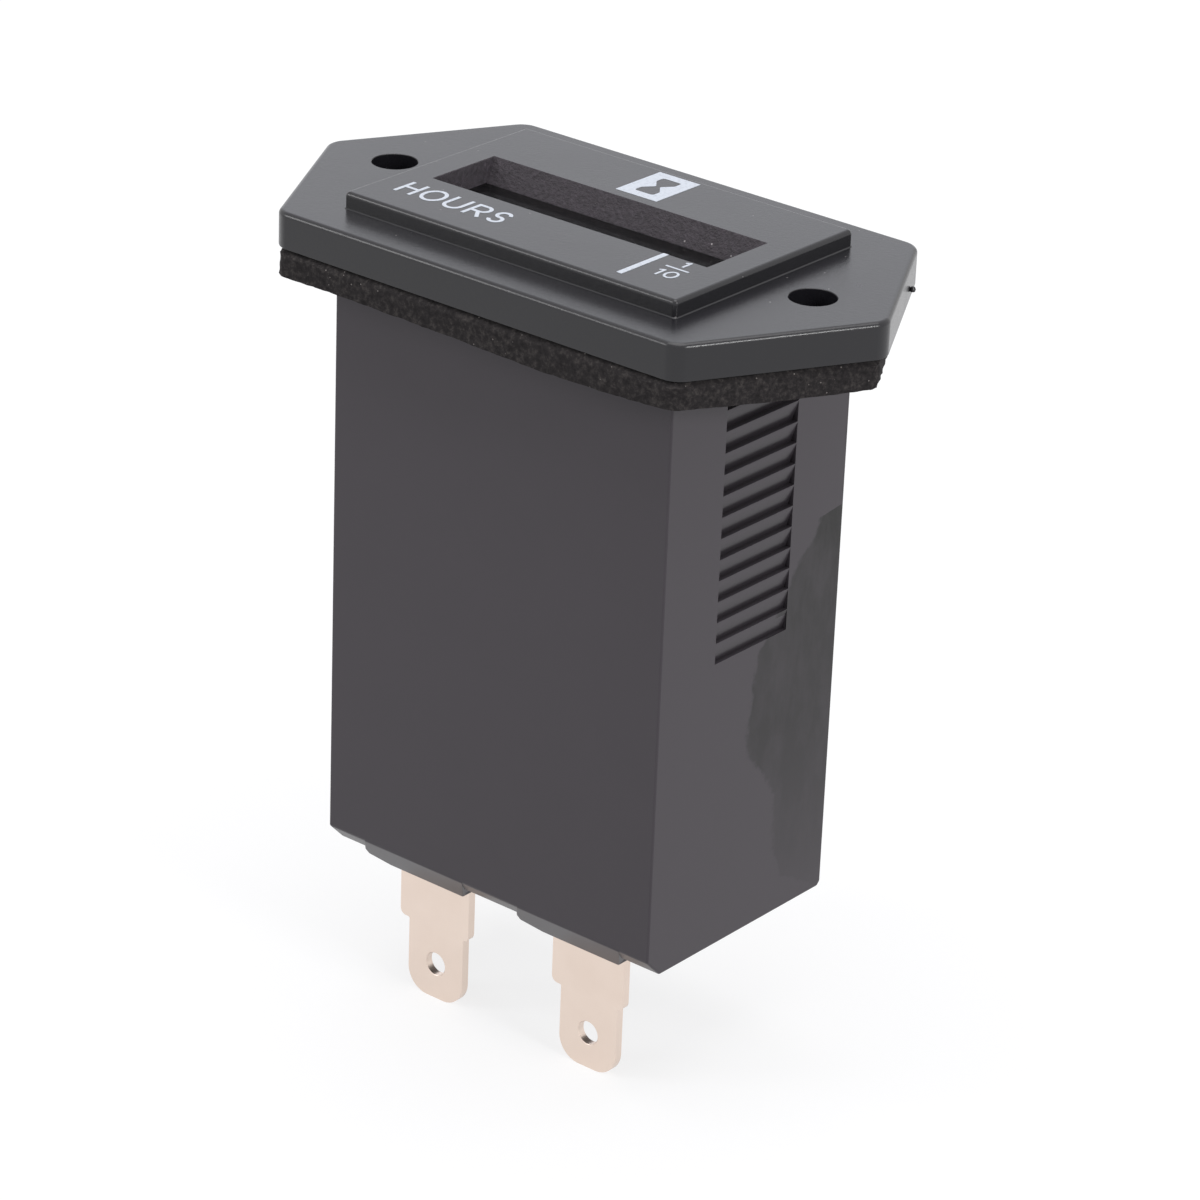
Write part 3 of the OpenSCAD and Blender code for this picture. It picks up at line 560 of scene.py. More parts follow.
@dataclass(frozen=True)
class GlassBoard(Finish):
    """Woven glass laminate under green lacquer."""

    colour: str
    thread: str
    thread_mm: float = 0.6
    thread_height_mm: float = 0.01
    roughness: float = 0.35

    def surface(self, nodes: Nodes, place: Socket) -> Inputs:
        """Lets colour and relief follow the weave.

        Args:
            nodes: Node tree of the material.
            place: Output that gives the place on the part.

        Returns:
            What goes into the shader's sockets.
        """
        scale = per_metre(self.thread_mm) / math.tau
        warp, weft = (
            nodes.add("TexWave", {
                "Vector": place, "Scale": scale, "Distortion": 0.3,
            }, 1, bands_direction=way.name)
            for way in (Axis.X, Axis.Y)
        )
        weave = nodes.add("Math", {0: warp, 1: weft}, operation="MULTIPLY")
        tone = nodes.add("Mix", {0: weave, 6: srgb(self.colour), 7: srgb(self.thread)}, 2, data_type="RGBA")
        bump = nodes.add("Bump", {"Height": weave, "Strength": 1.0, "Distance": self.thread_height_mm * MM})
        return {"Base Color": tone, "Roughness": self.roughness, "Normal": bump}


def seen_directly(nodes: Nodes) -> Socket:
    """Tells the rays that look from those that light.

    Args:
        nodes: Node tree that asks.

    Returns:
        One for rays from the camera, from reflections and through glass, and nought for others.
    """
    path = nodes.add("LightPath").node.outputs
    seen = path["Is Camera Ray"]
    for ray in ("Is Glossy Ray", "Is Transmission Ray"):
        seen = nodes.add("Math", {0: seen, 1: path[ray]}, operation="MAXIMUM")
    return seen


@dataclass(frozen=True)
class StudioPaper(Finish):
    """Matt paper of the floor: it looks white, and takes the part's shadow."""

    colour: str
    glow: float
    fibre_mm: float = 2.0
    roughness: Point = (0.85, 1.0)
    specular: float = 0.1

    def surface(self, nodes: Nodes, place: Socket) -> Inputs:
        """Lets the gloss follow the fibres, and whitens the paper to what looks at it.

        Args:
            nodes: Node tree of the material.
            place: Output that gives the place on the part.

        Returns:
            What goes into the shader's sockets.
        """
        fibre = nodes.add("TexNoise", {"Vector": place, "Scale": per_metre(self.fibre_mm)})
        low, high = self.roughness
        gloss = nodes.add("MapRange", {"Value": fibre, "To Min": low, "To Max": high})
        glow = nodes.add("Math", {0: seen_directly(nodes), 1: self.glow}, operation="MULTIPLY")
        return {
            "Base Color": srgb(self.colour), "Roughness": gloss, "Specular IOR Level": self.specular,
            "Emission Color": srgb(WHITE), "Emission Strength": glow,
        }


class Solid:
    """A shape in millimetres, made and changed by mesh operators."""

    def __init__(self) -> None:
        """Starts with an empty mesh."""
        self.mesh = bmesh.new()

    @classmethod
    def cube(cls, place: Matrix) -> "Solid":
        """Makes a cube of size one and places it.

        Args:
            place: Its place, turn and stretch.

        Returns:
            The placed cube.
        """
        made = cls()
        bmesh.ops.create_cube(made.mesh, size=1.0, matrix=place)
        return made

    @classmethod
    def box(cls, low: Vector, high: Vector) -> "Solid":
        """Returns a box between its lowest and its highest corner."""
        return cls.cube(Matrix.Translation((low + high) / 2) @ Matrix.Diagonal((*(high - low), 1.0)))

    @classmethod
    def slab(cls, x: float, y: float, low: float, high: float) -> "Solid":
        """Returns a box round the Z axis from half its sizes and its two heights."""
        return cls.box(Vector((-x, -y, low)), Vector((x, y, high)))

    @classmethod
    def flat(
        cls, outline: Sequence[Point], along: Axis, start: float, radii: float | Sequence[float] = 0.0,
        segments: int = 6,
    ) -> "Solid":
        """Makes one flat face from an outline.

        Args:
            outline: Corners in the plane across the axis, in the order of the other two axes.
            along: Axis across the face.
            start: Place along it.
            radii: Rounding of every corner, or of each in turn.
            segments: Faces in each rounding.

        Returns:
            The flat shape.
        """
        made = cls()
        corners = []
        for point in outline:
            place = list(point)
            place.insert(along.value, start)
            corners.append(made.mesh.verts.new(place))
        made.mesh.faces.new(corners)
        rounding = [radii] * len(corners) if isinstance(radii, float) else radii
        for corner, radius in zip(corners, rounding):
            if radius > 0.0:
                one, other = (edge.other_vert(corner).co - corner.co for edge in corner.link_edges)
                bmesh.ops.bevel(
                    made.mesh, geom=[corner], offset=radius / math.tan(one.angle(other) / 2),
                    offset_type="OFFSET", affect="VERTICES", segments=segments, profile=0.5, material=-1,
                )
        return made

    @classmethod
    def prism(
        cls, outline: Sequence[Point], along: Axis, start: float, end: float,
        radii: float | Sequence[float] = 0.0, segments: int = 6,
    ) -> "Solid":
        """Makes an outline solid by pushing it along an axis.

        Args:
            outline: Corners in the plane across the axis, in the order of the other two axes.
            along: Axis that the outline is pushed along.
            start: Place of the first end.
            end: Place of the second end.
            radii: Rounding of every corner, or of each in turn.
            segments: Faces in each rounding.

        Returns:
            The prism.
        """
        made = cls.flat(outline, along, start, radii, segments)
        made.push(list(made.mesh.faces), along, end - start)
        return made.outward()

    @classmethod
    def spun(cls, profile: Sequence[Point], centre: Vector, along: Axis, steps: int = 48) -> "Solid":
        """Makes a round shape by spinning a profile about an axis.

        Args:
            profile: Radius and height of each point, from the axis out and back to it.
            centre: Where the axis has height nought.
            along: Direction of the axis.
            steps: Faces round the shape.

        Returns:
            The round shape.
        """
        made = cls()
        points = [made.mesh.verts.new((radius, 0.0, height)) for radius, height in profile]
        edges = [made.mesh.edges.new(pair) for pair in zip(points, points[1:])]
        bmesh.ops.spin(
            made.mesh, geom=points + edges, cent=(0, 0, 0), axis=(0, 0, 1), angle=math.tau, steps=steps,
            use_merge=True,
        )
        bmesh.ops.remove_doubles(made.mesh, verts=made.mesh.verts, dist=SAME)
        turn = {
            Axis.X: Matrix.Rotation(math.pi / 2, 4, "Y"),
            Axis.Y: Matrix.Rotation(-math.pi / 2, 4, "X"),
            Axis.Z: Matrix.Identity(4),
        }[along]
        bmesh.ops.transform(made.mesh, matrix=Matrix.Translation(centre) @ turn, verts=made.mesh.verts)
        return made.outward()

    @classmethod
    def rod(cls, radius: float, low: float, high: float, at: Point = (0.0, 0.0), steps: int = 48) -> "Solid":
        """Returns a round rod that stands between two heights."""
        profile = [(0.0, low), (radius, low), (radius, high), (0.0, high)]
        return cls.spun(profile, Vector((*at, 0.0)), Axis.Z, steps)

    def push(self, faces: list[bmesh.types.BMFace], along: Axis, length: float) -> list[bmesh.types.BMVert]:
        """Extrudes faces along an axis, and keeps the faces that they left.

        Args:
            faces: Faces to push.
            along: Direction of the push.
            length: Length of the push.

        Returns:
            The pushed corners.
        """
        pushed = bmesh.ops.extrude_face_region(self.mesh, geom=faces, use_keep_orig=True)
        corners = [item for item in pushed["geom"] if isinstance(item, bmesh.types.BMVert)]
        way = Vector((0.0, 0.0, 0.0))
        way[along.value] = length
        bmesh.ops.translate(self.mesh, vec=way, verts=corners)
        return corners

    def outward(self) -> "Solid":
        """Turns all faces outward and returns the shape."""
        bmesh.ops.recalc_face_normals(self.mesh, faces=self.mesh.faces)
        return self

    def shift(self, way: Point) -> "Solid":
        """Moves the shape level and returns it."""
        bmesh.ops.translate(self.mesh, vec=(*way, 0.0), verts=self.mesh.verts)
        return self

    def stretch(self, factors: Sequence[float]) -> "Solid":
        """Stretches the shape from the origin and returns it."""
        bmesh.ops.scale(self.mesh, vec=factors, verts=self.mesh.verts)
        return self

    def soften(
        self, width: float, chosen: Callable[[bmesh.types.BMEdge], bool], segments: int = 2
    ) -> "Solid":
        """Rounds the chosen edges.

        Args:
            width: How far the rounding reaches from the edge.
            chosen: Says of an edge whether it is rounded.
            segments: Faces across the rounding.

        Returns:
            The shape.
        """
        edges = [edge for edge in self.mesh.edges if chosen(edge)]
        bmesh.ops.bevel(
            self.mesh, geom=edges, offset=width, offset_type="OFFSET", affect="EDGES",
            segments=segments, profile=0.5, material=-1, clamp_overlap=True,
        )
        return self

    def merge(self, how: Merge, *others: "Solid") -> "Solid":
        """Cuts other shapes away or joins them on.

        Args:
            how: Cut or join.
            *others: The other shapes.

        Returns:
            The shape.
        """
        target, *tools = (add_object("stand", shape.as_mesh("stand")) for shape in (self, *others))
        for tool in tools:
            step = target.modifiers.new(how.name, "BOOLEAN")
            step.operation = how.value
            step.solver = "EXACT"
            step.object = tool
        self.mesh.clear()
        self.take(target)
        for stand in (target, *tools):
            bpy.data.meshes.remove(stand.data)
        return self

    def take(self, shown: bpy.types.Object) -> None:
        """Adds an object's mesh, as its modifiers leave it.

        Args:
            shown: The object.
        """
        graph = bpy.context.evaluated_depsgraph_get()
        data = bpy.data.meshes.new_from_object(shown.evaluated_get(graph))
        self.mesh.from_mesh(data)
        bpy.data.meshes.remove(data)

    def as_mesh(self, name: str) -> bpy.types.Mesh:
        """Gives the shape as mesh data.

        Args:
            name: Name of the mesh.

        Returns:
            The mesh.
        """
        data = bpy.data.meshes.new(name)
        self.mesh.to_mesh(data)
        return data


def lies_at(edge: bmesh.types.BMEdge, axis: Axis, place: float) -> bool:
    """Says whether both ends of an edge lie at one place along an axis, in millimetres."""
    return all(abs(vert.co[axis.value] - place) < SAME for vert in edge.verts)


@dataclass(frozen=True)
class Piece:
    """Name of a piece, the body it rides on, its finish slot and the node it stands for."""

    name: str
    slot: str
    body: str = FIXED_BODY
    stands_for: tuple[str, ...] = ()
    sharp_deg: float = 35.0

    def make(self, solid: Solid, *finishes: Finish) -> bpy.types.Object:
        """Makes the piece in the scene from a shape in millimetres.

        Args:
            solid: The shape.
            *finishes: Its finishes, in the order of the faces' material numbers.

        Returns:
            The piece.
        """
        data = solid.stretch((MM, MM, MM)).as_mesh(self.name)
        solid.mesh.free()
        for finish in finishes:
            data.materials.append(finish.material())
        data.shade_smooth()
        data.set_sharp_from_angle(angle=math.radians(self.sharp_deg))
        made = add_object(self.name, data)
        level = made.modifiers.new("level_faces", "WEIGHTED_NORMAL")
        level.keep_sharp = True
        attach(made, self.body)
        if self.stands_for:
            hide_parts(*self.stands_for)
        log.info("%s: %d faces on %s", self.name, len(data.polygons), self.body)
        return made


@dataclass(frozen=True)
class NodeBox:
    """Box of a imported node, in millimetres."""

    low: Vector
    high: Vector

    @classmethod
    def of(cls, node: str) -> "NodeBox":
        """Returns the box of the node with this name."""
        low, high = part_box(node)
        return cls(low / MM, high / MM)

    @property
    def centre(self) -> Vector:
        """Middle of the box."""
        return (self.low + self.high) / 2

    @property
    def half(self) -> Vector:
        """Half the size of the box."""
        return (self.high - self.low) / 2


def box_of(node: str) -> NodeBox:
    """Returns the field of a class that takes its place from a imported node."""
    return field(default_factory=lambda: NodeBox.of(node))


# Satin black moulded ABS with a fine spark-eroded texture, which greys it under soft light
BEZEL_PLASTIC = MouldedPlastic(
    "bezel_abs_textured", colour="#1a1a1e", clouded="#222126", roughness=0.25,
    grain_mm=0.3, grain_height_mm=0.012, dust="#6f6b6c", dust_mm=2.2, speck=0.035,
)
# The same ABS inside the window, where the tool was left rougher and dust has settled
RECESS_PLASTIC = MouldedPlastic(
    "bezel_abs_recess", colour="#040304", clouded="#544d55", roughness=0.75,
    grain_mm=0.4, grain_height_mm=0.22, cloud_mm=0.5, dust="#b4aeb0",
)
# Smooth satin black ABS, greyed by a dull bloom, dark and clear where it is wiped off, and painted dark deep in
# the teeth as shade
BODY_PLASTIC = HandledPlastic(
    "body_abs_satin", colour="#4c474d", clouded="#514c52", roughness=0.36, specular=0.35,
    grain_mm=0.5, grain_height_mm=0.003, wiped_and_shade_colour="#080606", wiped_roughness=0.3, face_x=18.25,
    border=(
        (11.9, -17.6, 1.0), (8.9, -17.9, 1.0), (8.0, -19.6, 1.0), (6.4, -21.0, 0.95), (5.0, -22.9, 0.85),
        (3.0, -26.4, 0.8), (1.1, -27.9, 0.75), (0.7, -31.2, 0.75), (0.1, -35.8, 0.75), (0.5, -37.6, 0.7),
        (2.8, -40.0, 0.65), (4.5, -42.6, 0.55), (4.6, -47.9, 0.4), (6.2, -51.0, 0.25), (12.2, -54.4, 0.1),
    ),
)
# Dull black ABS of the number wheels and their frame, which keeps the numbers clear
COUNTER_PLASTIC = MouldedPlastic(
    "counter_abs_black", colour="#111113", clouded="#161618", roughness=0.62, grain_mm=0.3,
    grain_height_mm=0.002,
)
# Natural acetal: milky, waxy cream
ACETAL = MouldedPlastic(
    "acetal_natural", colour="#dedbcf", clouded="#d3cfbf", roughness=0.42, grain_mm=0.4,
    grain_height_mm=0.004,
)
# Black epoxy of chips and diodes: dull and finely pitted
EPOXY = MouldedPlastic(
    "epoxy_black", colour="#1c1c1e", clouded="#262628", roughness=0.55, grain_mm=0.15, grain_height_mm=0.006,
)
# Shrunk vinyl sleeve of the capacitor: smooth dark blue
SLEEVE = MouldedPlastic(
    "vinyl_sleeve_blue", colour="#1d2450", clouded="#232b5c", roughness=0.3, grain_mm=0.6,
    grain_height_mm=0.003,
)
# Lacquered resistor bodies: pale blue with a soft shine
LACQUER = MouldedPlastic(
    "resistor_lacquer", colour="#6f9fb5", clouded="#7fadc0", roughness=0.35, grain_mm=0.3,
    grain_height_mm=0.005,
)
# Black foam rubber, cut to shape, with a rough brownish edge
FOAM = CellFoam("foam_rubber_cut", pit="#1c1a1b", skin="#353233", rim="#625d5b", fleck="#a39c99")
# Rolled brass strip with bright tin, warm silver
TINNED_BRASS = WorkedMetal(
    "brass_strip_tinned", colour="#ecdcd0", stained="#e2d0c3", roughness=0.34, streak_mm=0.12,
    streak_along=Axis.Z,
)
# Plated steel of the screws: bright, cool grey
PLATED_STEEL = WorkedMetal(
    "steel_plated", colour="#c3c6c9", stained="#b4b6b8", roughness=0.3, streak_mm=0.1, streak_along=Axis.X,
)
# Ground steel of the shafts: the brightest metal, with fine lines
GROUND_STEEL = WorkedMetal(
    "steel_ground", colour="#cdd0d3", stained="#c3c6c9", roughness=0.2, streak_mm=0.06, streak_along=Axis.X,
)
# Annealed magnetic sheet, grey and dull
CORE_STEEL = WorkedMetal(
    "steel_annealed", colour="#9c9c9f", stained="#8a898a", roughness=0.45, streak_mm=0.15,
    streak_along=Axis.Z,
)
# Sintered magnet, dark grey and even
MAGNET = WorkedMetal(
    "magnet_sintered", colour="#77787c", stained="#686a6e", roughness=0.5, streak_mm=0.2, streak_along=Axis.X,
    streak_stretch=1.0,
)
# Hobbed brass of the train, warm yellow
GEAR_BRASS = WorkedMetal(
    "brass_hobbed", colour="#cfa95e", stained="#bf9850", roughness=0.3, streak_mm=0.08, streak_along=Axis.X,
)
# Nickel-plated crystal can, bright with a warm cast
CAN_METAL = WorkedMetal(
    "nickel_can", colour="#cfd0cc", stained="#c2c3bf", roughness=0.22, streak_mm=0.1, streak_along=Axis.X,
)
# Enamelled copper of the coil: brown, with painted shade in the grooves between the turns
COPPER_COIL = WoundWire("copper_wound", colour="#b8703c", groove_shade="#5a2d14", turn_mm=0.3, turns_along=Axis.Y)
# Bare copper of the coil's leads
COPPER_LEAD = WorkedMetal(
    "copper_lead", colour="#c07a48", stained="#a9683c", roughness=0.3, streak_mm=0.08, streak_along=Axis.Z,
)
# Green circuit board, in which the weave of the glass just shows
LAMINATE = GlassBoard("glass_laminate_green", colour="#1e5a34", thread="#2c6b42")
# Clear window plate, which lets the numbers through
LENS_ACRYLIC = ClearAcrylic("acrylic_clear", colour="#dfe6e8", roughness=0.05)
# Cool white ink of legends and numbers
WHITE_INK = PadPrint("ink_white", colour="#d3d9e4", thin="#aeb3bd")
# Pale paper under the part
FLOOR_PAPER = StudioPaper("paper_matt", colour="#8a8a8c", glow=0.78)


@dataclass
class BezelMoulding:
    """Flange, raised frame, window and spigot of the bezel, which are one moulding."""

    flange_l: float = 60.5
    flange_w: float = 32.0
    flange_edge: float = 42.8
    flange_t: float = 3.2
    flange_r: float = 1.8
    flange_soft: float = 0.45
    flange_foot_soft: float = 0.08
    frame_l: float = 35.6
    frame_w: float = 23.2
    frame_soft: float = 0.4
    # Fillet at the frame's foot, and the upright rest of its edge
    frame_fillet: float = 0.09
    fillet_rest: float = 0.005
    window_l: float = 29.5
    window_w: float = 7.8
    window_lean: float = 1.4
    window_end_lean: float = 0.3
    window_lip: float = 0.06
    screw_pitch: float = 45.2
    screw_d: float = 4.0
    screw_lip: float = 0.05
    spigot_wall: float = 1.2
    # Clearance round the lens, and between the spigot and the body
    lens_gap: float = 0.1
    # Stub of the moulding gate on the flange's right rear side: its place, its height over the flange's foot,
    # its radius, and its profile as shares of that
    gate_at: Point = (23.79, 12.1)
    gate_rise: float = 0.9
    gate_r: float = 0.26
    gate_profile: tuple[Point, ...] = ((0.0, -1.0), (0.8, -0.7), (1.0, 0.1), (0.7, 0.8), (0.0, 1.0))
    box: NodeBox = box_of("bezel")
    lens: NodeBox = box_of("window_lens")
    body: NodeBox = box_of("housing")
    gasket: NodeBox = box_of("flange_gasket")

    @property
    def flange_foot(self) -> float:
        """Height of the flange's underside."""
        return self.gasket.high.z

    @property
    def flange_top(self) -> float:
        """Height of the flange's upper side."""
        return self.flange_foot + self.flange_t

    @property
    def flange_halves(self) -> tuple[float, float, float]:
        """Half the flange's straight edge, half its length over the points and half its width."""
        return self.flange_edge / 2, self.flange_l / 2, self.flange_w / 2

    def flange(self) -> Solid:
        """Makes the flange with its rounded corners and edges.

        Returns:
            The flange.
        """
        edge, point, side = self.flange_halves
        outline = [(-edge, -side), (edge, -side), (point, 0.0), (edge, side), (-edge, side), (-point, 0.0)]
        plate = Solid.prism(outline, Axis.Z, self.flange_foot, self.flange_top, radii=self.flange_r)
        plate.soften(self.flange_soft, lambda edge: lies_at(edge, Axis.Z, self.flange_top), segments=5)
        return plate.soften(self.flange_foot_soft, lambda edge: lies_at(edge, Axis.Z, self.flange_foot))

    def raised_frame(self) -> Solid:
        """Makes the frame round the window, with the fillet at its foot.

        Returns:
            The frame.
        """
        x, y = self.frame_l / 2, self.frame_w / 2
        foot = self.flange_top - self.flange_t / 2
        block = Solid.slab(x, y, foot, self.box.high.z)
        block.soften(self.frame_soft, lambda edge: not lies_at(edge, Axis.Z, foot), segments=5)
        rise = self.flange_top + self.frame_fillet
        fillet = Solid.slab(x + self.frame_fillet, y + self.frame_fillet, foot, rise)
        fillet.soften(
            self.frame_soft, lambda edge: abs(edge.verts[0].co.z - edge.verts[1].co.z) > PAST, segments=3
        )
        reach = self.frame_fillet - self.fillet_rest
        fillet.soften(reach, lambda edge: lies_at(edge, Axis.Z, rise), segments=1)
        return block.merge(Merge.JOIN, fillet)

    def spigot(self) -> tuple[Solid, Solid]:
        """Makes the spigot, which clears the body's inside.

        Returns:
            Its block, and the cutter of the room in it.
        """
        inset, low = BodyMoulding.wall + self.lens_gap, self.box.low.z
        x, y = self.body.half.x - inset, self.body.half.y - inset
        block = Solid.slab(x, y, low, self.flange_foot + PAST)
        return block, Solid.slab(x - self.spigot_wall, y - self.spigot_wall, low - PAST, self.lens.low.z)

    def window(self) -> Solid:
        """Makes the cutter of the window, with leaning walls and a softened mouth.

        Returns:
            The cutter.
        """
        size = Vector((self.window_l / 2 - self.window_end_lean, self.window_w / 2 - self.window_lean, 0.0))
        mouth = Vector((self.window_l / 2, self.window_w / 2, 0.0))
        lip = Vector((self.window_lip, self.window_lip, 0.0))
        top, level = self.box.high.z, self.lens.high.z - PAST
        cutter = Solid()
        bmesh.ops.create_grid(
            cutter.mesh, x_segments=1, y_segments=1, size=1.0,
            matrix=Matrix.Translation((0.0, 0.0, level)) @ Matrix.Diagonal((size.x, size.y, 1.0, 1.0)),
        )
        for height, half in ((top - self.window_lip, mouth), (top, mouth + lip), (top + PAST, mouth + lip)):
            face = max(cutter.mesh.faces, key=lambda f: f.calc_center_median().z)
            corners = cutter.push([face], Axis.Z, height - level)
            bmesh.ops.scale(cutter.mesh, vec=(half.x / size.x, half.y / size.y, 1.0), verts=corners)
            size, level = half, height
        inner = [
            face for face in cutter.mesh.faces
            if all(not edge.is_boundary and len(edge.link_faces) > 2 for edge in face.edges)
        ]
        bmesh.ops.delete(cutter.mesh, geom=inner, context="FACES_ONLY")
        return cutter.outward()

    def screw_hole(self, side: int) -> Solid:
        """Returns the cutter of one panel screw hole.

        Args:
            side: Minus one for the left hole, one for the right.

        Returns:
            The cutter.
        """
        radius, lip = self.screw_d / 2, self.screw_lip
        foot, top = self.flange_foot, self.flange_top
        profile = [
            (0.0, foot - PAST), (radius, foot - PAST), (radius, top - lip), (radius + lip, top),
            (radius + lip, top + PAST), (0.0, top + PAST),
        ]
        return Solid.spun(profile, Vector((side * self.screw_pitch / 2, 0.0, 0.0)), Axis.Z)

    def lens_pocket(self) -> Solid:
        """Returns the cutter of the lens's seat."""
        gap = Vector((self.lens_gap, self.lens_gap, 0.0))
        return Solid.box(self.lens.low - gap, self.lens.high + gap)

    def gate_stub(self) -> Solid:
        """Makes the broken stub of the moulding gate.

        Returns:
            The stub.
        """
        profile = [(self.gate_r * out, self.gate_r * up) for out, up in self.gate_profile]
        centre = Vector((*self.gate_at, self.flange_foot + self.gate_rise))
        return Solid.spun(profile, centre, Axis.Z, steps=10)

    def in_window(self, face: bmesh.types.BMFace) -> bool:
        """Says whether a face lies inside the window."""
        x, y = (size / 2 + self.window_lip + SAME for size in (self.window_l, self.window_w))
        return all(abs(v.co.x) < x and abs(v.co.y) < y and v.co.z > self.lens.low.z for v in face.verts)

    def build(self) -> bpy.types.Object:
        """Builds and dresses the bezel.

        Returns:
            The piece.
        """
        block, room = self.spigot()
        shape = self.flange().merge(Merge.JOIN, self.raised_frame(), block, self.gate_stub())
        shape.merge(
            Merge.CUT, self.window(), self.lens_pocket(), room, self.screw_hole(-1), self.screw_hole(1)
        )
        for face in shape.mesh.faces:
            face.material_index = int(self.in_window(face))
        tag = Piece("bezel_moulding", "bezel_plastic", stands_for=("bezel",))
        return tag.make(shape, BEZEL_PLASTIC, RECESS_PLASTIC)


@dataclass
class WindowLens:
    """Clear plate behind the window."""

    soft: float = 0.1
    box: NodeBox = box_of("window_lens")

    def build(self) -> bpy.types.Object:
        """Builds and dresses the lens, and returns the piece."""
        plate = Solid.box(self.box.low, self.box.high).soften(self.soft, lambda edge: True)
        return Piece("window_plate", "lens", stands_for=("window_lens",)).make(plate, LENS_ACRYLIC)


@dataclass
class FoamGasket:
    """Foam gasket under the flange, with a rough cut edge."""

    bezel: BezelMoulding
    body_gap: float = 0.3
    body_r: float = 0.7
    layers: int = 9
    step: float = 0.3
    rough_mm: float = 1.1
    rough_reach: float = 0.22
    # How fast the octaves of the rough edge fade, their step and their number
    rough_octaves: tuple[float, float, int] = (0.8, 2.0, 4)
    # How far its points, its left side and its right rear corner fall short, and the pinch of its upper edge
    short: float = 0.35
    left_short: float = 0.3
    corner_short: float = 0.5
    pinch: float = 0.6
    pinch_h: float = 0.5
    # How far it lies off the flange, and how far the foot of its front rim droops, from left to right
    shift: Point = (-0.05, -0.25)
    droop: tuple[Point, ...] = (
        (-32.0, 0.1), (-21.0, 0.15), (-14.0, 0.05), (-2.0, 0.25), (8.0, 0.5), (15.0, 0.35), (21.0, 0.05),
        (26.0, 0.35), (32.0, 0.3),
    )
    rim_w: float = 1.0
    box: NodeBox = box_of("flange_gasket")
    body: NodeBox = box_of("housing")

    def outline(self) -> list[Point]:
        """Works out the sheet's corners from the flange's own.

        Returns:
            The six corners.
        """
        edge, point, side = self.bezel.flange_halves
        left, tip, cut = edge - self.left_short, point - self.short, self.corner_short
        corners = [
            (-left, -side), (edge, -side), (tip, 0.0), (edge - cut, side - cut), (-left, side), (-tip, 0.0),
        ]
        return [(x + self.shift[0], y + self.shift[1]) for x, y in corners]

    def sheet(self) -> Solid:
        """Makes the cut sheet with its ragged edge.

        Returns:
            The sheet.
        """
        foot, top = self.box.low.z, self.box.high.z
        sheet = Solid.flat(self.outline(), Axis.Z, foot, self.bezel.flange_r, segments=5)
        for edge in list(sheet.mesh.edges):
            cuts = int(edge.calc_length() / self.step)
            if cuts:
                bmesh.ops.subdivide_edges(sheet.mesh, edges=[edge], cuts=cuts)
        rim = list(sheet.mesh.edges)
        for _ in range(self.layers):
            pushed = bmesh.ops.extrude_edge_only(sheet.mesh, edges=rim)["geom"]
            risen = [item for item in pushed if isinstance(item, bmesh.types.BMVert)]
            rim = [item for item in pushed if isinstance(item, bmesh.types.BMEdge)]
            bmesh.ops.translate(sheet.mesh, vec=(0.0, 0.0, (top - foot) / self.layers), verts=risen)
        bmesh.ops.contextual_create(sheet.mesh, geom=rim)
        sheet.outward().mesh.normal_update()
        for vert in sheet.mesh.verts:
            out = Vector((vert.normal.x, vert.normal.y, 0.0)).normalized()
            depth = noise.fractal(vert.co / self.rough_mm, *self.rough_octaves)
            pinched = max(0.0, 1.0 - (top - vert.co.z) / self.pinch_h)
            vert.co += out * (self.rough_reach * (depth - 1.0) / 2 - self.pinch * pinched)
        return sheet

    def on_front_rim(self, place: Vector) -> bool:
        """Says whether a place is on the rim's front half.

        Args:
            place: The place.

        Returns:
            True if it is.
        """
        edge, point, side = self.bezel.flange_halves
        reach = edge + (point - edge) * (1.0 - abs(place.y) / side)
        return place.y < 0.0 and (abs(place.y) > side - self.rim_w or abs(place.x) > reach - self.rim_w)

    def drop(self, x: float) -> float:
        """Works out how far the front rim's foot droops.

        Args:
            x: Place along the rim.

        Returns:
            The droop there.
        """
        for (x0, drop0), (x1, drop1) in zip(self.droop, self.droop[1:]):
            if x0 <= x < x1:
                return drop0 + (drop1 - drop0) * (x - x0) / (x1 - x0)
        return 0.0

    def build(self) -> bpy.types.Object:
        """Builds and dresses the gasket.

        Returns:
            The piece.
        """
        foot, top = self.box.low.z, self.box.high.z
        low, high = foot - PAST, top + PAST
        x, y = self.body.half.x + self.body_gap, self.body.half.y + self.body_gap
        opening = Solid.prism([(-x, -y), (x, -y), (x, y), (-x, y)], Axis.Z, low, high, radii=self.body_r)
        holes = [
            Solid.rod(self.bezel.screw_d / 2, low, high, at=(side * self.bezel.screw_pitch / 2, 0.0))
            for side in (-1, 1)
        ]
        sheet = self.sheet().merge(Merge.CUT, opening, *holes)
        for vert in sheet.mesh.verts:
            if self.on_front_rim(vert.co):
                vert.co.z -= self.drop(vert.co.x) * (top - vert.co.z) / (top - foot)
        tag = Piece("gasket_foam", "foam", stands_for=("flange_gasket",), sharp_deg=50.0)
        return tag.make(sheet, FOAM)


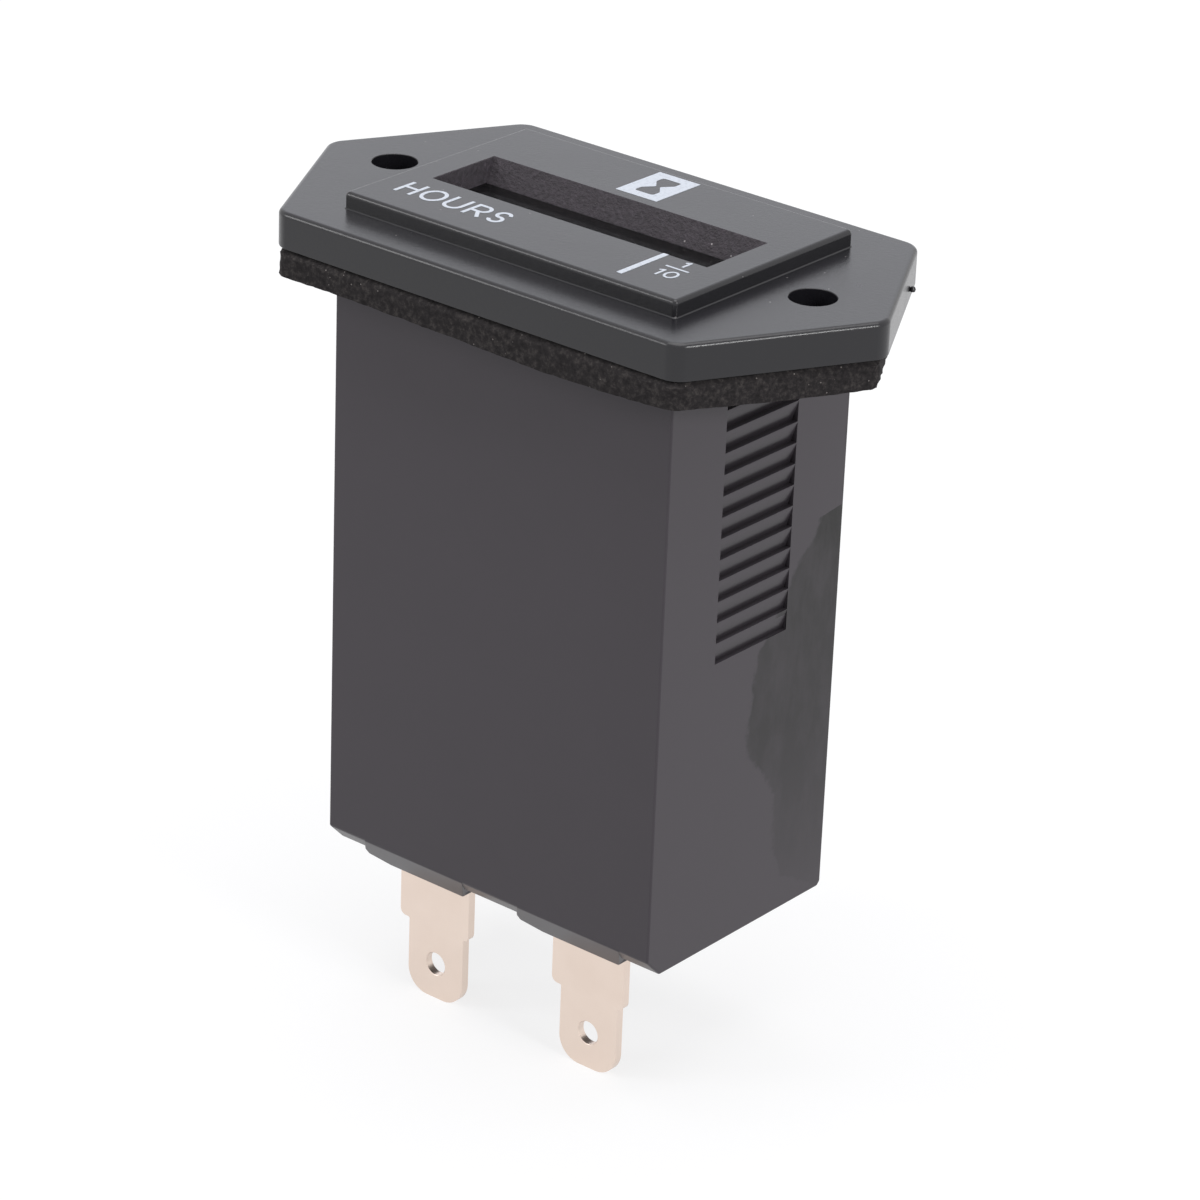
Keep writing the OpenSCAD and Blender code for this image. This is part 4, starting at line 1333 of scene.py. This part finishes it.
@dataclass
class BladeTab:
    """One push-on tab: leg through the floor, shoulder under the boss, blade with a hole."""

    node: str
    name: str
    blade_w: float = 6.35
    blade_l: float = 7.0
    blade_shift: float = 0.25
    shoulder_h: float = 5.3
    tip_cut: float = 1.3
    leg_w: float = 3.0
    # Roundings of the tip, the corner over the blade, the shoulder's two corners and the leg's end
    tip_r: float = 2.0
    neck_r: float = 0.15
    shoulder_r: float = 0.6
    seat_r: float = 0.1
    leg_r: float = 0.1
    hole_d: float = 2.2
    hole_rise: float = 3.4
    hole_lip: float = 0.04
    edge_soft: float = 0.07

    @property
    def box(self) -> NodeBox:
        """Box of the tab's node."""
        return NodeBox.of(self.node)

    def outline(self) -> tuple[list[Point], list[float]]:
        """Works out the tab's outline.

        Returns:
            Its corners and the rounding of each.
        """
        x, tip, leg_top = self.box.centre.x, self.box.low.z, self.box.high.z
        half, wide, leg = self.blade_w / 2, self.box.half.x, self.leg_w / 2
        foot = tip + self.blade_l
        seat = foot + self.shoulder_h
        right = [
            (half - self.tip_cut, tip, self.tip_r), (half, tip + self.tip_cut, self.tip_r),
            (half, foot, self.neck_r), (wide, foot, self.shoulder_r), (wide, seat, self.seat_r),
            (leg, seat, 0.0), (leg, leg_top, self.leg_r),
        ]
        corners = right + [(-a, z, r) for a, z, r in reversed(right)]
        places = [
            (x + a + (self.blade_shift if abs(a) <= half and z <= foot else 0.0), z) for a, z, _ in corners
        ]
        return places, [r for _, _, r in corners]

    def build(self) -> bpy.types.Object:
        """Builds and dresses the tab.

        Returns:
            The piece.
        """
        corners, radii = self.outline()
        front, back = self.box.low.y, self.box.high.y
        strip = Solid.prism(corners, Axis.Y, front, back, radii=radii, segments=4)
        strip.soften(self.edge_soft, lambda edge: any(lies_at(edge, Axis.Y, y) for y in (front, back)))
        radius, lip, half = self.hole_d / 2, self.hole_lip, self.box.half.y
        lower = [
            (0.0, -half - PAST), (radius + lip, -half - PAST), (radius + lip, -half), (radius, lip - half),
        ]
        profile = lower + [(out, -up) for out, up in reversed(lower)]
        centre = self.box.centre
        centre = Vector((centre.x + self.blade_shift, centre.y, self.box.low.z + self.hole_rise))
        strip.merge(Merge.CUT, Solid.spun(profile, centre, Axis.Y))
        return Piece(self.name, "tinned_brass", stands_for=(self.node,)).make(strip, TINNED_BRASS)


@dataclass
class BodyMoulding:
    """Deep body with ratchet sides, tab bosses, ledges and board posts, which are one moulding."""

    wall: float = 1.6
    floor_t: float = 2.0
    boss_h: float = 1.2
    boss_w: float = 8.0
    boss_d: float = 3.6
    boss_lead: float = 3.0
    boss_tail: float = 0.5
    boss_ramp: float = 0.4
    boss_step: float = 0.66
    # How far the front face runs down over a pad, how the bevel's ends slant in plan, the rounding of its
    # edges, and how far the pad stays behind that face
    boss_lip: float = 0.05
    boss_skew: float = 0.8
    boss_soft: float = 0.1
    boss_play: float = 0.01
    foot_cut: float = 1.75
    rear_cut: float = 0.4
    edge_soft: float = 0.2
    ratchet_count: int = 13
    ratchet_pitch: float = 1.9
    ratchet_depth: float = 0.65
    ratchet_low_depth: float = 0.45
    ratchet_w: float = 9.6
    ratchet_end: float = 27.0
    # How far past the face the cutter's ramps run out, and how far the cutter stands out from it
    ratchet_clear: float = 0.02
    ratchet_out: float = 1.0
    leg_w: float = 3.0
    slot_gap: float = 0.1
    ledge_t: float = 1.2
    ledge_half: float = 2.0
    # Height of the counter frame's left plate, which one ledge carries
    left_plate_h: float = 15.0
    post_r: float = 1.5
    post_inset: float = 2.0
    box: NodeBox = box_of("housing")
    board: NodeBox = box_of("circuit_board")
    frame_box: NodeBox = box_of("counter_frame")
    positive: NodeBox = box_of("terminal_positive")
    negative: NodeBox = box_of("terminal_negative")

    @property
    def foot(self) -> float:
        """Height of the floor's underside."""
        return self.box.low.z + self.boss_h

    @property
    def inner(self) -> Vector:
        """Half the inside, with the floor's upper side as its height."""
        return Vector((self.box.half.x - self.wall, self.box.half.y - self.wall, self.foot + self.floor_t))

    def block(self) -> Solid:
        """Makes the outer block with its chamfered long edges.

        Returns:
            The block.
        """
        y, foot, top = self.box.half.y, self.foot, self.box.high.z
        cut, rear = self.foot_cut, self.rear_cut
        outline = [
            (-y + cut, foot), (y - rear, foot), (y, foot + rear), (y, top), (-y, top), (-y, foot + cut)
        ]
        block = Solid.prism(outline, Axis.X, self.box.low.x, self.box.high.x)
        return block.soften(self.edge_soft, lambda edge: not lies_at(edge, Axis.Z, top), segments=3)

    def boss(self, tab: NodeBox) -> Solid:
        """Makes the pad that one tab leaves: bevelled in front, with a step and a long ramp at its left end.

        Args:
            tab: Box of the tab.

        Returns:
            The pad.
        """
        full, right = tab.centre.x - self.boss_w / 2, tab.centre.x + self.boss_w / 2 + self.boss_tail
        left, face, root = full - self.boss_lead, self.box.low.z, self.foot + self.foot_cut + PAST
        outline = [
            (left, root), (left, self.foot), (left + self.boss_ramp, self.foot - self.boss_step),
            (full, face), (right, face), (right, root),
        ]
        front, deep = self.box.low.y + self.boss_play, self.boss_d / 2
        brink, back = tab.centre.y - deep, tab.centre.y + deep
        upper = Vector((front, self.foot + self.foot_cut - self.boss_lip))
        fall = Vector((brink, face)) - upper
        high, low = upper - fall, upper + 2 * fall
        bevel = Solid.prism(
            [tuple(high), tuple(low), (high.x, low.y)], Axis.X, left - self.wall, right + self.wall
        )
        pad = Solid.prism(outline, Axis.Y, front, back).merge(Merge.CUT, bevel)
        pad.soften(self.boss_soft, lambda edge: not lies_at(edge, Axis.Z, root))
        for vert in pad.mesh.verts:
            vert.co.x += self.boss_skew * max(0.0, brink - vert.co.y)
        return pad

    def tab_slot(self, tab: NodeBox) -> Solid:
        """Makes the cutter of the slot for a tab's leg.

        Args:
            tab: Box of the tab.

        Returns:
            The cutter.
        """
        half = Vector((self.leg_w / 2 + self.slot_gap, tab.half.y + self.slot_gap, 0.0))
        low = Vector((tab.centre.x, tab.centre.y, self.box.low.z - PAST)) - half
        return Solid.box(low, Vector((tab.centre.x, tab.centre.y, self.inner.z + PAST)) + half)

    def ratchet(self, side: int) -> Solid:
        """Returns the cutter of the teeth on one narrow side.

        Each tooth ramps in from the face, downwards, and ends on a step that faces up.

        Args:
            side: Minus one for the left side, one for the right.

        Returns:
            The cutter.
        """
        face, half = self.box.high.x, self.ratchet_w / 2
        outline = [(face + self.ratchet_out, -self.ratchet_end)]
        for i in range(self.ratchet_count):
            foot = -self.ratchet_end + i * self.ratchet_pitch
            share = i / (self.ratchet_count - 1)
            depth = self.ratchet_low_depth + share * (self.ratchet_depth - self.ratchet_low_depth)
            outline += [(face - depth, foot), (face + self.ratchet_clear, foot + self.ratchet_pitch)]
        outline.append((face + self.ratchet_out, outline[-1][1]))
        return Solid.prism([(side * x, z) for x, z in outline], Axis.Y, -half, half)

    def inside_parts(self) -> list[Solid]:
        """Makes the ledges for the counter frame and the posts for the board.

        Returns:
            The ledges and posts.
        """
        inner, low = self.inner, self.inner.z - PAST
        parts = []
        for side, top in ((1, self.frame_box.low.z), (-1, self.frame_box.high.z - self.left_plate_h)):
            ends = sorted((side * (inner.x + PAST), side * (inner.x - self.ledge_t)))
            parts.append(Solid.box(
                Vector((ends[0], -self.ledge_half, low)), Vector((ends[1], self.ledge_half, top))
            ))
        x, y = self.board.half.x - self.post_inset, self.board.half.y - self.post_inset
        for at in ((-x, -y), (-x, y), (x, -y), (x, y)):
            parts.append(Solid.rod(self.post_r, low, self.board.low.z, at, steps=32))
        return parts

    def build(self) -> bpy.types.Object:
        """Builds and dresses the body.

        Returns:
            The piece.
        """
        tabs, inner = (self.positive, self.negative), self.inner
        cavity = Solid.slab(inner.x, inner.y, inner.z, self.box.high.z + PAST)
        shape = self.block().merge(Merge.JOIN, *(self.boss(tab) for tab in tabs))
        shape.merge(Merge.CUT, cavity).merge(Merge.JOIN, *self.inside_parts())
        shape.merge(Merge.CUT, self.ratchet(-1), self.ratchet(1), *(self.tab_slot(tab) for tab in tabs))
        return Piece("body_moulding", "body_plastic", stands_for=("housing",)).make(shape, BODY_PLASTIC)


def lettering(words: str, width: float, height: float) -> Solid:
    """Makes flat lettering with its middle at the origin.

    Args:
        words: What it says.
        width: Width over all, in millimetres.
        height: Height over all, in millimetres.

    Returns:
        The flat lettering.
    """
    curve = bpy.data.curves.new("lettering", "FONT")
    curve.body = words
    curve.resolution_u = 8
    made = Solid()
    made.take(add_object("lettering", curve))
    bpy.data.curves.remove(curve)
    bmesh.ops.remove_doubles(made.mesh, verts=made.mesh.verts, dist=FONT_SAME)
    xs, ys = ([vert.co[axis] for vert in made.mesh.verts] for axis in (0, 1))
    made.shift((-(max(xs) + min(xs)) / 2, -(max(ys) + min(ys)) / 2))
    return made.stretch((width / (max(xs) - min(xs)), height / (max(ys) - min(ys)), 1.0))


@dataclass(frozen=True)
class Bar:
    """Straight stroke between two points of the print."""

    start: Point
    end: Point

    def solid(self, width: float, low: float, high: float) -> Solid:
        """Makes the stroke's shape.

        Args:
            width: Width of the stroke.
            low: Height of its underside.
            high: Height of its upper side.

        Returns:
            The shape.
        """
        start, end = Vector(self.start), Vector(self.end)
        way, middle = end - start, (start + end) / 2
        return Solid.cube(
            Matrix.Translation((*middle, (low + high) / 2))
            @ Matrix.Rotation(math.atan2(way.y, way.x), 4, "Z")
            @ Matrix.Diagonal((way.length, width, high - low, 1.0))
        )


@dataclass(frozen=True)
class Arc:
    """Round stroke about a centre, from one angle to another, in degrees against the clock."""

    centre: Point
    radius: float
    start: float
    end: float
    steps: int = 20

    def solid(self, width: float, low: float, high: float) -> Solid:
        """Makes the stroke's shape.

        Args:
            width: Width of the stroke.
            low: Height of its underside.
            high: Height of its upper side.

        Returns:
            The shape.
        """
        made = Solid()
        ends = [made.mesh.verts.new((self.radius + side * width / 2, 0.0, low)) for side in (-1, 1)]
        across = made.mesh.edges.new(ends)
        turn = Matrix.Rotation(math.radians(self.start), 3, "Z")
        bmesh.ops.rotate(made.mesh, cent=(0, 0, 0), matrix=turn, verts=ends)
        bmesh.ops.spin(
            made.mesh, geom=[*ends, across], cent=(0, 0, 0), axis=(0, 0, 1),
            angle=math.radians(self.end - self.start), steps=self.steps,
        )
        made.push(list(made.mesh.faces), Axis.Z, high - low)
        return made.shift(self.centre).outward()


@dataclass(frozen=True)
class Loop:
    """Closed round stroke with its own half width and half height."""

    centre: Point
    half: Point
    steps: int = 40

    def solid(self, width: float, low: float, high: float) -> Solid:
        """Returns the stroke's shape between two heights."""
        inner = self.disc(-width / 2, low - PAST, high + PAST)
        return self.disc(width / 2, low, high).merge(Merge.CUT, inner)

    def disc(self, margin: float, low: float, high: float) -> Solid:
        """Returns the filled loop, set out by a margin."""
        made = Solid.rod(1.0, low, high, steps=self.steps)
        return made.stretch((self.half[0] + margin, self.half[1] + margin, 1.0)).shift(self.centre)


Strokes = tuple[Bar | Arc | Loop, ...]


@dataclass
class FrameLegends:
    """White print on the raised frame: unit, hourglass sign, divider and the tenths fraction."""

    ink_t: float = 0.02
    letter_w: float = 0.34
    figure_w: float = 0.22
    unit: tuple[tuple[str, Strokes], ...] = (
        ("legend_h", (
            Bar((-15.48, -8.0), (-15.48, -5.4)), Bar((-13.95, -8.0), (-13.95, -5.4)),
            Bar((-15.48, -6.62), (-13.95, -6.62)),
        )),
        ("legend_o", (Loop((-12.2, -6.7), (0.98, 1.17)),)),
        ("legend_u", (
            Bar((-10.47, -7.1), (-10.47, -5.4)), Bar((-8.87, -7.1), (-8.87, -5.4)),
            Arc((-9.67, -7.1), 0.8, 180.0, 360.0),
        )),
        ("legend_r", (
            Bar((-8.0, -8.0), (-8.0, -5.4)), Bar((-8.0, -5.57), (-7.1, -5.57)),
            Bar((-8.0, -6.87), (-7.1, -6.87)), Arc((-7.12, -6.22), 0.65, -91.0, 91.0),
            Bar((-7.2, -6.87), (-6.4, -8.0)),
        )),
        ("legend_s", (
            Arc((-4.98, -6.13), 0.58, 15.0, 272.0), Arc((-4.95, -7.27), 0.58, -165.0, 92.0),
        )),
    )
    fraction: tuple[tuple[str, Strokes], ...] = (
        ("legend_one", (Bar((13.0, -5.0), (13.0, -3.75)), Bar((13.05, -3.81), (12.6, -4.05)))),
        ("legend_fraction_line", (Bar((11.75, -5.55), (14.1, -5.55)),)),
        ("legend_ten", (
            Bar((12.36, -7.7), (12.36, -6.3)), Bar((12.4, -6.36), (11.95, -6.62)),
            Loop((13.43, -6.95), (0.5, 0.66)),
        )),
    )
    divider: Strokes = (Bar((10.13, -9.55), (10.13, -3.53)),)
    divider_w: float = 0.55
    sign_at: Point = (-0.47, 8.4)
    sign_size: Point = (4.4, 5.9)
    glass_w: float = 2.0
    glass_h: float = 3.9
    glass_neck: float = 0.4
    glass_straight: float = 0.95
    # Roundings down one side of the hourglass
    glass_r: tuple[float, ...] = (0.3, 0.5, 0.2, 0.5, 0.3)
    # How far the print as a whole sits off its drawing
    shift: Point = (0.42, -0.42)
    top: float = field(default_factory=lambda: NodeBox.of("bezel").high.z)

    def hourglass(self) -> Solid:
        """Makes the cutter of the hourglass sign: two bulbs that meet in a narrow neck.

        Returns:
            The cutter.
        """
        x, y = self.sign_at
        half, neck, tall = self.glass_w / 2, self.glass_neck / 2, self.glass_h / 2
        upper = [(neck, 0.0), (half, tall - self.glass_straight), (half, tall)]
        right = [(a, -b) for a, b in reversed(upper[1:])] + upper
        left = [(-a, b) for a, b in reversed(right)]
        return Solid.prism(
            [(x + a, y + b) for a, b in right + left], Axis.Z, self.top - PAST, self.top + PAST,
            radii=self.glass_r + self.glass_r[::-1],
        )

    def sign(self) -> Solid:
        """Makes the white panel with the hourglass left open in it.

        Returns:
            The panel.
        """
        half = Vector((*self.sign_size, 0.0)) / 2
        middle = Vector((*self.sign_at, self.top))
        panel = Solid.box(middle - half, middle + half + Vector((0.0, 0.0, self.ink_t)))
        return panel.merge(Merge.CUT, self.hourglass())

    def drawn(self, strokes: Strokes, width: float) -> Solid:
        """Returns strokes of one width, joined to one shape."""
        first, *others = (stroke.solid(width, self.top, self.top + self.ink_t) for stroke in strokes)
        return first.merge(Merge.JOIN, *others) if others else first

    def build(self) -> list[bpy.types.Object]:
        """Builds and dresses the print.

        Returns:
            The printed pieces.
        """
        shapes = {"legend_hourglass": self.sign(), "legend_divider": self.drawn(self.divider, self.divider_w)}
        for figures, width in ((self.unit, self.letter_w), (self.fraction, self.figure_w)):
            shapes |= {name: self.drawn(strokes, width) for name, strokes in figures}
        return [
            Piece(name, "bezel_plastic").make(shape.shift(self.shift), WHITE_INK)
            for name, shape in shapes.items()
        ]


@dataclass
class WheelNumbers:
    """Printed numbers, nought to nine, round one number wheel."""

    wheel: str
    digit_w: float = 1.7
    digit_h: float = 2.6
    # Share of the width that the narrow number one has
    one_w: float = 0.5
    ink_t: float = 0.02
    # Height of the strips in which a number bends round the wheel, and what still counts as the wheel's rim
    strip: float = 0.3
    rim_t: float = 0.02
    count: int = 10

    def axis(self) -> Vector:
        """Returns a point on the wheel's axis, from its joint."""
        joint = next(j for j in frame["joints"] if j["child"] == self.wheel)
        return Vector(joint["pos_m"]) / MM

    def digit(self, number: int, radius: float, centre: Vector) -> Solid:
        """Returns one number, wrapped on the wheel's band.

        Args:
            number: The number.
            radius: Radius of the band.
            centre: Middle of the band, on the axis.

        Returns:
            The number's shape.
        """
        flat = lettering(str(number), self.digit_w * (self.one_w if number == 1 else 1.0), self.digit_h)
        cuts = int(self.digit_h / self.strip)
        for i in range(1, cuts):
            bmesh.ops.bisect_plane(
                flat.mesh, geom=flat.mesh.verts[:] + flat.mesh.edges[:] + flat.mesh.faces[:],
                plane_co=(0.0, self.digit_h * (i / cuts - 0.5), 0.0), plane_no=(0.0, 1.0, 0.0),
            )
        outer = radius + self.ink_t
        for vert in flat.mesh.verts:
            angle = vert.co.y / radius - math.tau * number / self.count
            vert.co = Vector((vert.co.x, outer * math.sin(angle), outer * math.cos(angle))) + centre
        bmesh.ops.solidify(flat.mesh, geom=flat.mesh.faces[:], thickness=self.ink_t)
        return flat.outward()

    def band_middle(self, radius: float, axis: Vector) -> float:
        """Finds the middle of the wheel's widest band.

        Args:
            radius: Radius of the band.
            axis: A point on the wheel's axis.

        Returns:
            Its place along X.
        """
        points = [vert.co / MM for vert in frame["nodes"][self.wheel].data.vertices]
        band = [p.x for p in points if math.hypot(p.y - axis.y, p.z - axis.z) > radius - self.rim_t]
        return (min(band) + max(band)) / 2

    def build(self) -> bpy.types.Object:
        """Builds and dresses the wheel's numbers.

        Returns:
            The piece.
        """
        axis = self.axis()
        radius = NodeBox.of(self.wheel).high.z - axis.z
        centre = Vector((self.band_middle(radius, axis), axis.y, axis.z))
        ring = Solid()
        for number in range(self.count):
            printed = self.digit(number, radius, centre).as_mesh("number")
            ring.mesh.from_mesh(printed)
            bpy.data.meshes.remove(printed)
        return Piece(self.wheel + "_numbers", "wheel_plastic", body=self.wheel).make(ring, WHITE_INK)


@dataclass
class Works:
    """Counter, train, motor and board inside the body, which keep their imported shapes."""

    finishes: tuple[tuple[Finish, tuple[str, ...]], ...] = (
        (ACETAL, ("coil_bobbin", "idler_gear", *(f"carry_pinion_{i}" for i in range(1, len(WHEELS))))),
        (COUNTER_PLASTIC, ("counter_frame", "gear_plate", *WHEELS)),
        (PLATED_STEEL, ("gear_plate_screws", "motor_screws")),
        (GROUND_STEEL, ("wheel_shaft", "pinion_shaft")),
        (CORE_STEEL, ("motor_stator", "coil_core")),
        (GEAR_BRASS, ("first_arbor", "second_arbor", "third_arbor")),
        (MAGNET, ("rotor",)),
        (COPPER_COIL, ("coil_winding",)),
        (COPPER_LEAD, ("coil_leads",)),
        (LAMINATE, ("circuit_board",)),
        (CAN_METAL, ("quartz_crystal",)),
        (EPOXY, ("clock_chip", "rectifier_diode")),
        (SLEEVE, ("smoothing_capacitor",)),
        (LACQUER, ("dropping_resistors",)),
    )

    def dress(self) -> None:
        """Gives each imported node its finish."""
        for finish, nodes in self.finishes:
            for node in nodes:
                for slot in frame["nodes"][node].material_slots:
                    slot.material = finish.material()
                log.info("%s: %s", node, finish.name)


@dataclass(frozen=True)
class Softbox:
    """One soft lamp: where it stands from the part's middle, its side and its brightness, with 1 as white."""

    name: str
    azimuth: float
    elevation: float
    distance: float
    side: float
    brightness: float
    colour: str = WHITE


@dataclass
class Studio:
    """Pale floor, soft light and the camera at the photograph's place."""

    azimuth: float = 38.974
    elevation: float = 24.782
    roll: float = 2.24
    distance: float = 404.486
    aim_z: float = -28.581
    aim_side: float = 1.459
    focal_px: float = 4706.0
    picture_px: float = 1200.0
    sensor: float = 36.0
    clip_start: float = 0.01
    ambient: float = 0.36
    floor_side: float = 6.0
    lamps: tuple[Softbox, ...] = (
        Softbox("overhead", azimuth=0.0, elevation=90.0, distance=0.9, side=0.9, brightness=2.0),
        Softbox(
            "rear", azimuth=219.0, elevation=28.0, distance=1.0, side=0.9, brightness=0.28, colour="#dfe6ff",
        ),
        Softbox("right", azimuth=83.0, elevation=26.0, distance=1.0, side=0.2, brightness=21.0),
        Softbox("left_front", azimuth=-46.0, elevation=27.0, distance=1.0, side=0.3, brightness=5.6),
    )

    @staticmethod
    def direction(azimuth: float, elevation: float) -> Vector:
        """Returns the direction from the part to a viewer at this azimuth and elevation."""
        a, e = math.radians(azimuth), math.radians(elevation)
        return Vector((math.sin(a) * math.cos(e), -math.cos(a) * math.cos(e), math.sin(e)))

    def add_camera(self) -> None:
        """Adds the camera and makes it the scene's own."""
        a, r = math.radians(self.azimuth), math.radians(self.roll)
        back = self.direction(self.azimuth, self.elevation)
        level = Vector((math.cos(a), math.sin(a), 0.0))
        steep = back.cross(level)
        right = level * math.cos(r) + steep * math.sin(r)
        up = steep * math.cos(r) - level * math.sin(r)
        aim = Vector((0.0, 0.0, self.aim_z)) + right * self.aim_side
        data = bpy.data.cameras.new("camera")
        data.sensor_width = self.sensor
        data.lens = self.sensor * self.focal_px / self.picture_px
        data.clip_start = self.clip_start
        camera = add_object("camera", data)
        turn = Matrix((right, up, back)).transposed().to_4x4()
        camera.matrix_world = Matrix.Translation((aim + back * self.distance) * MM) @ turn
        bpy.context.scene.camera = camera

    def add_lamps(self) -> None:
        """Adds the soft lamps, turned to the part's middle."""
        middle = (cad_box[0] + cad_box[1]) / 2
        for box in self.lamps:
            way = self.direction(box.azimuth, box.elevation)
            data = bpy.data.lights.new(box.name, "AREA")
            data.shape = "SQUARE"
            data.size = box.side
            data.energy = box.brightness * math.pi * box.side ** 2
            data.color = srgb(box.colour)[:3]
            lamp = add_object(box.name, data)
            lamp.location = middle + way * box.distance
            lamp.rotation_mode = "QUATERNION"
            lamp.rotation_quaternion = way.to_track_quat("Z", "Y")

    def add_world(self) -> None:
        """Adds the even surround: white to the camera, to reflections and through glass."""
        world = bpy.data.worlds.new("surround")
        nodes = Nodes(world)
        strength = nodes.add("MapRange", {"Value": seen_directly(nodes), "To Min": self.ambient})
        nodes.link(nodes.tree.nodes["Background"], {"Color": srgb(WHITE), "Strength": strength})
        bpy.context.scene.world = world

    def add_floor(self) -> None:
        """Adds the floor at the foot of the tabs."""
        sheet = bmesh.new()
        place = Matrix.Translation((0.0, 0.0, cad_box[0].z))
        bmesh.ops.create_grid(sheet, x_segments=1, y_segments=1, size=self.floor_side / 2, matrix=place)
        data = bpy.data.meshes.new("floor")
        sheet.to_mesh(data)
        sheet.free()
        data.materials.append(FLOOR_PAPER.material())
        floor = add_object("floor", data)

    def build(self) -> None:
        """Sets up view, camera, lamps, surround and floor."""
        bpy.context.scene.view_settings.view_transform = "Standard"
        self.add_camera()
        self.add_lamps()
        self.add_world()
        self.add_floor()


def main() -> None:
    """Builds the pieces in order, from the panel face inward."""
    logging.basicConfig(level=logging.INFO, format="%(name)s: %(message)s")
    Studio().build()
    bezel = BezelMoulding()
    bezel.build()
    WindowLens().build()
    FoamGasket(bezel).build()
    BodyMoulding().build()
    BladeTab("terminal_positive", "tab_positive").build()
    BladeTab("terminal_negative", "tab_negative").build()
    FrameLegends().build()
    for wheel in WHEELS:
        WheelNumbers(wheel).build()
    Works().dress()


if __name__ == "__main__":
    main()
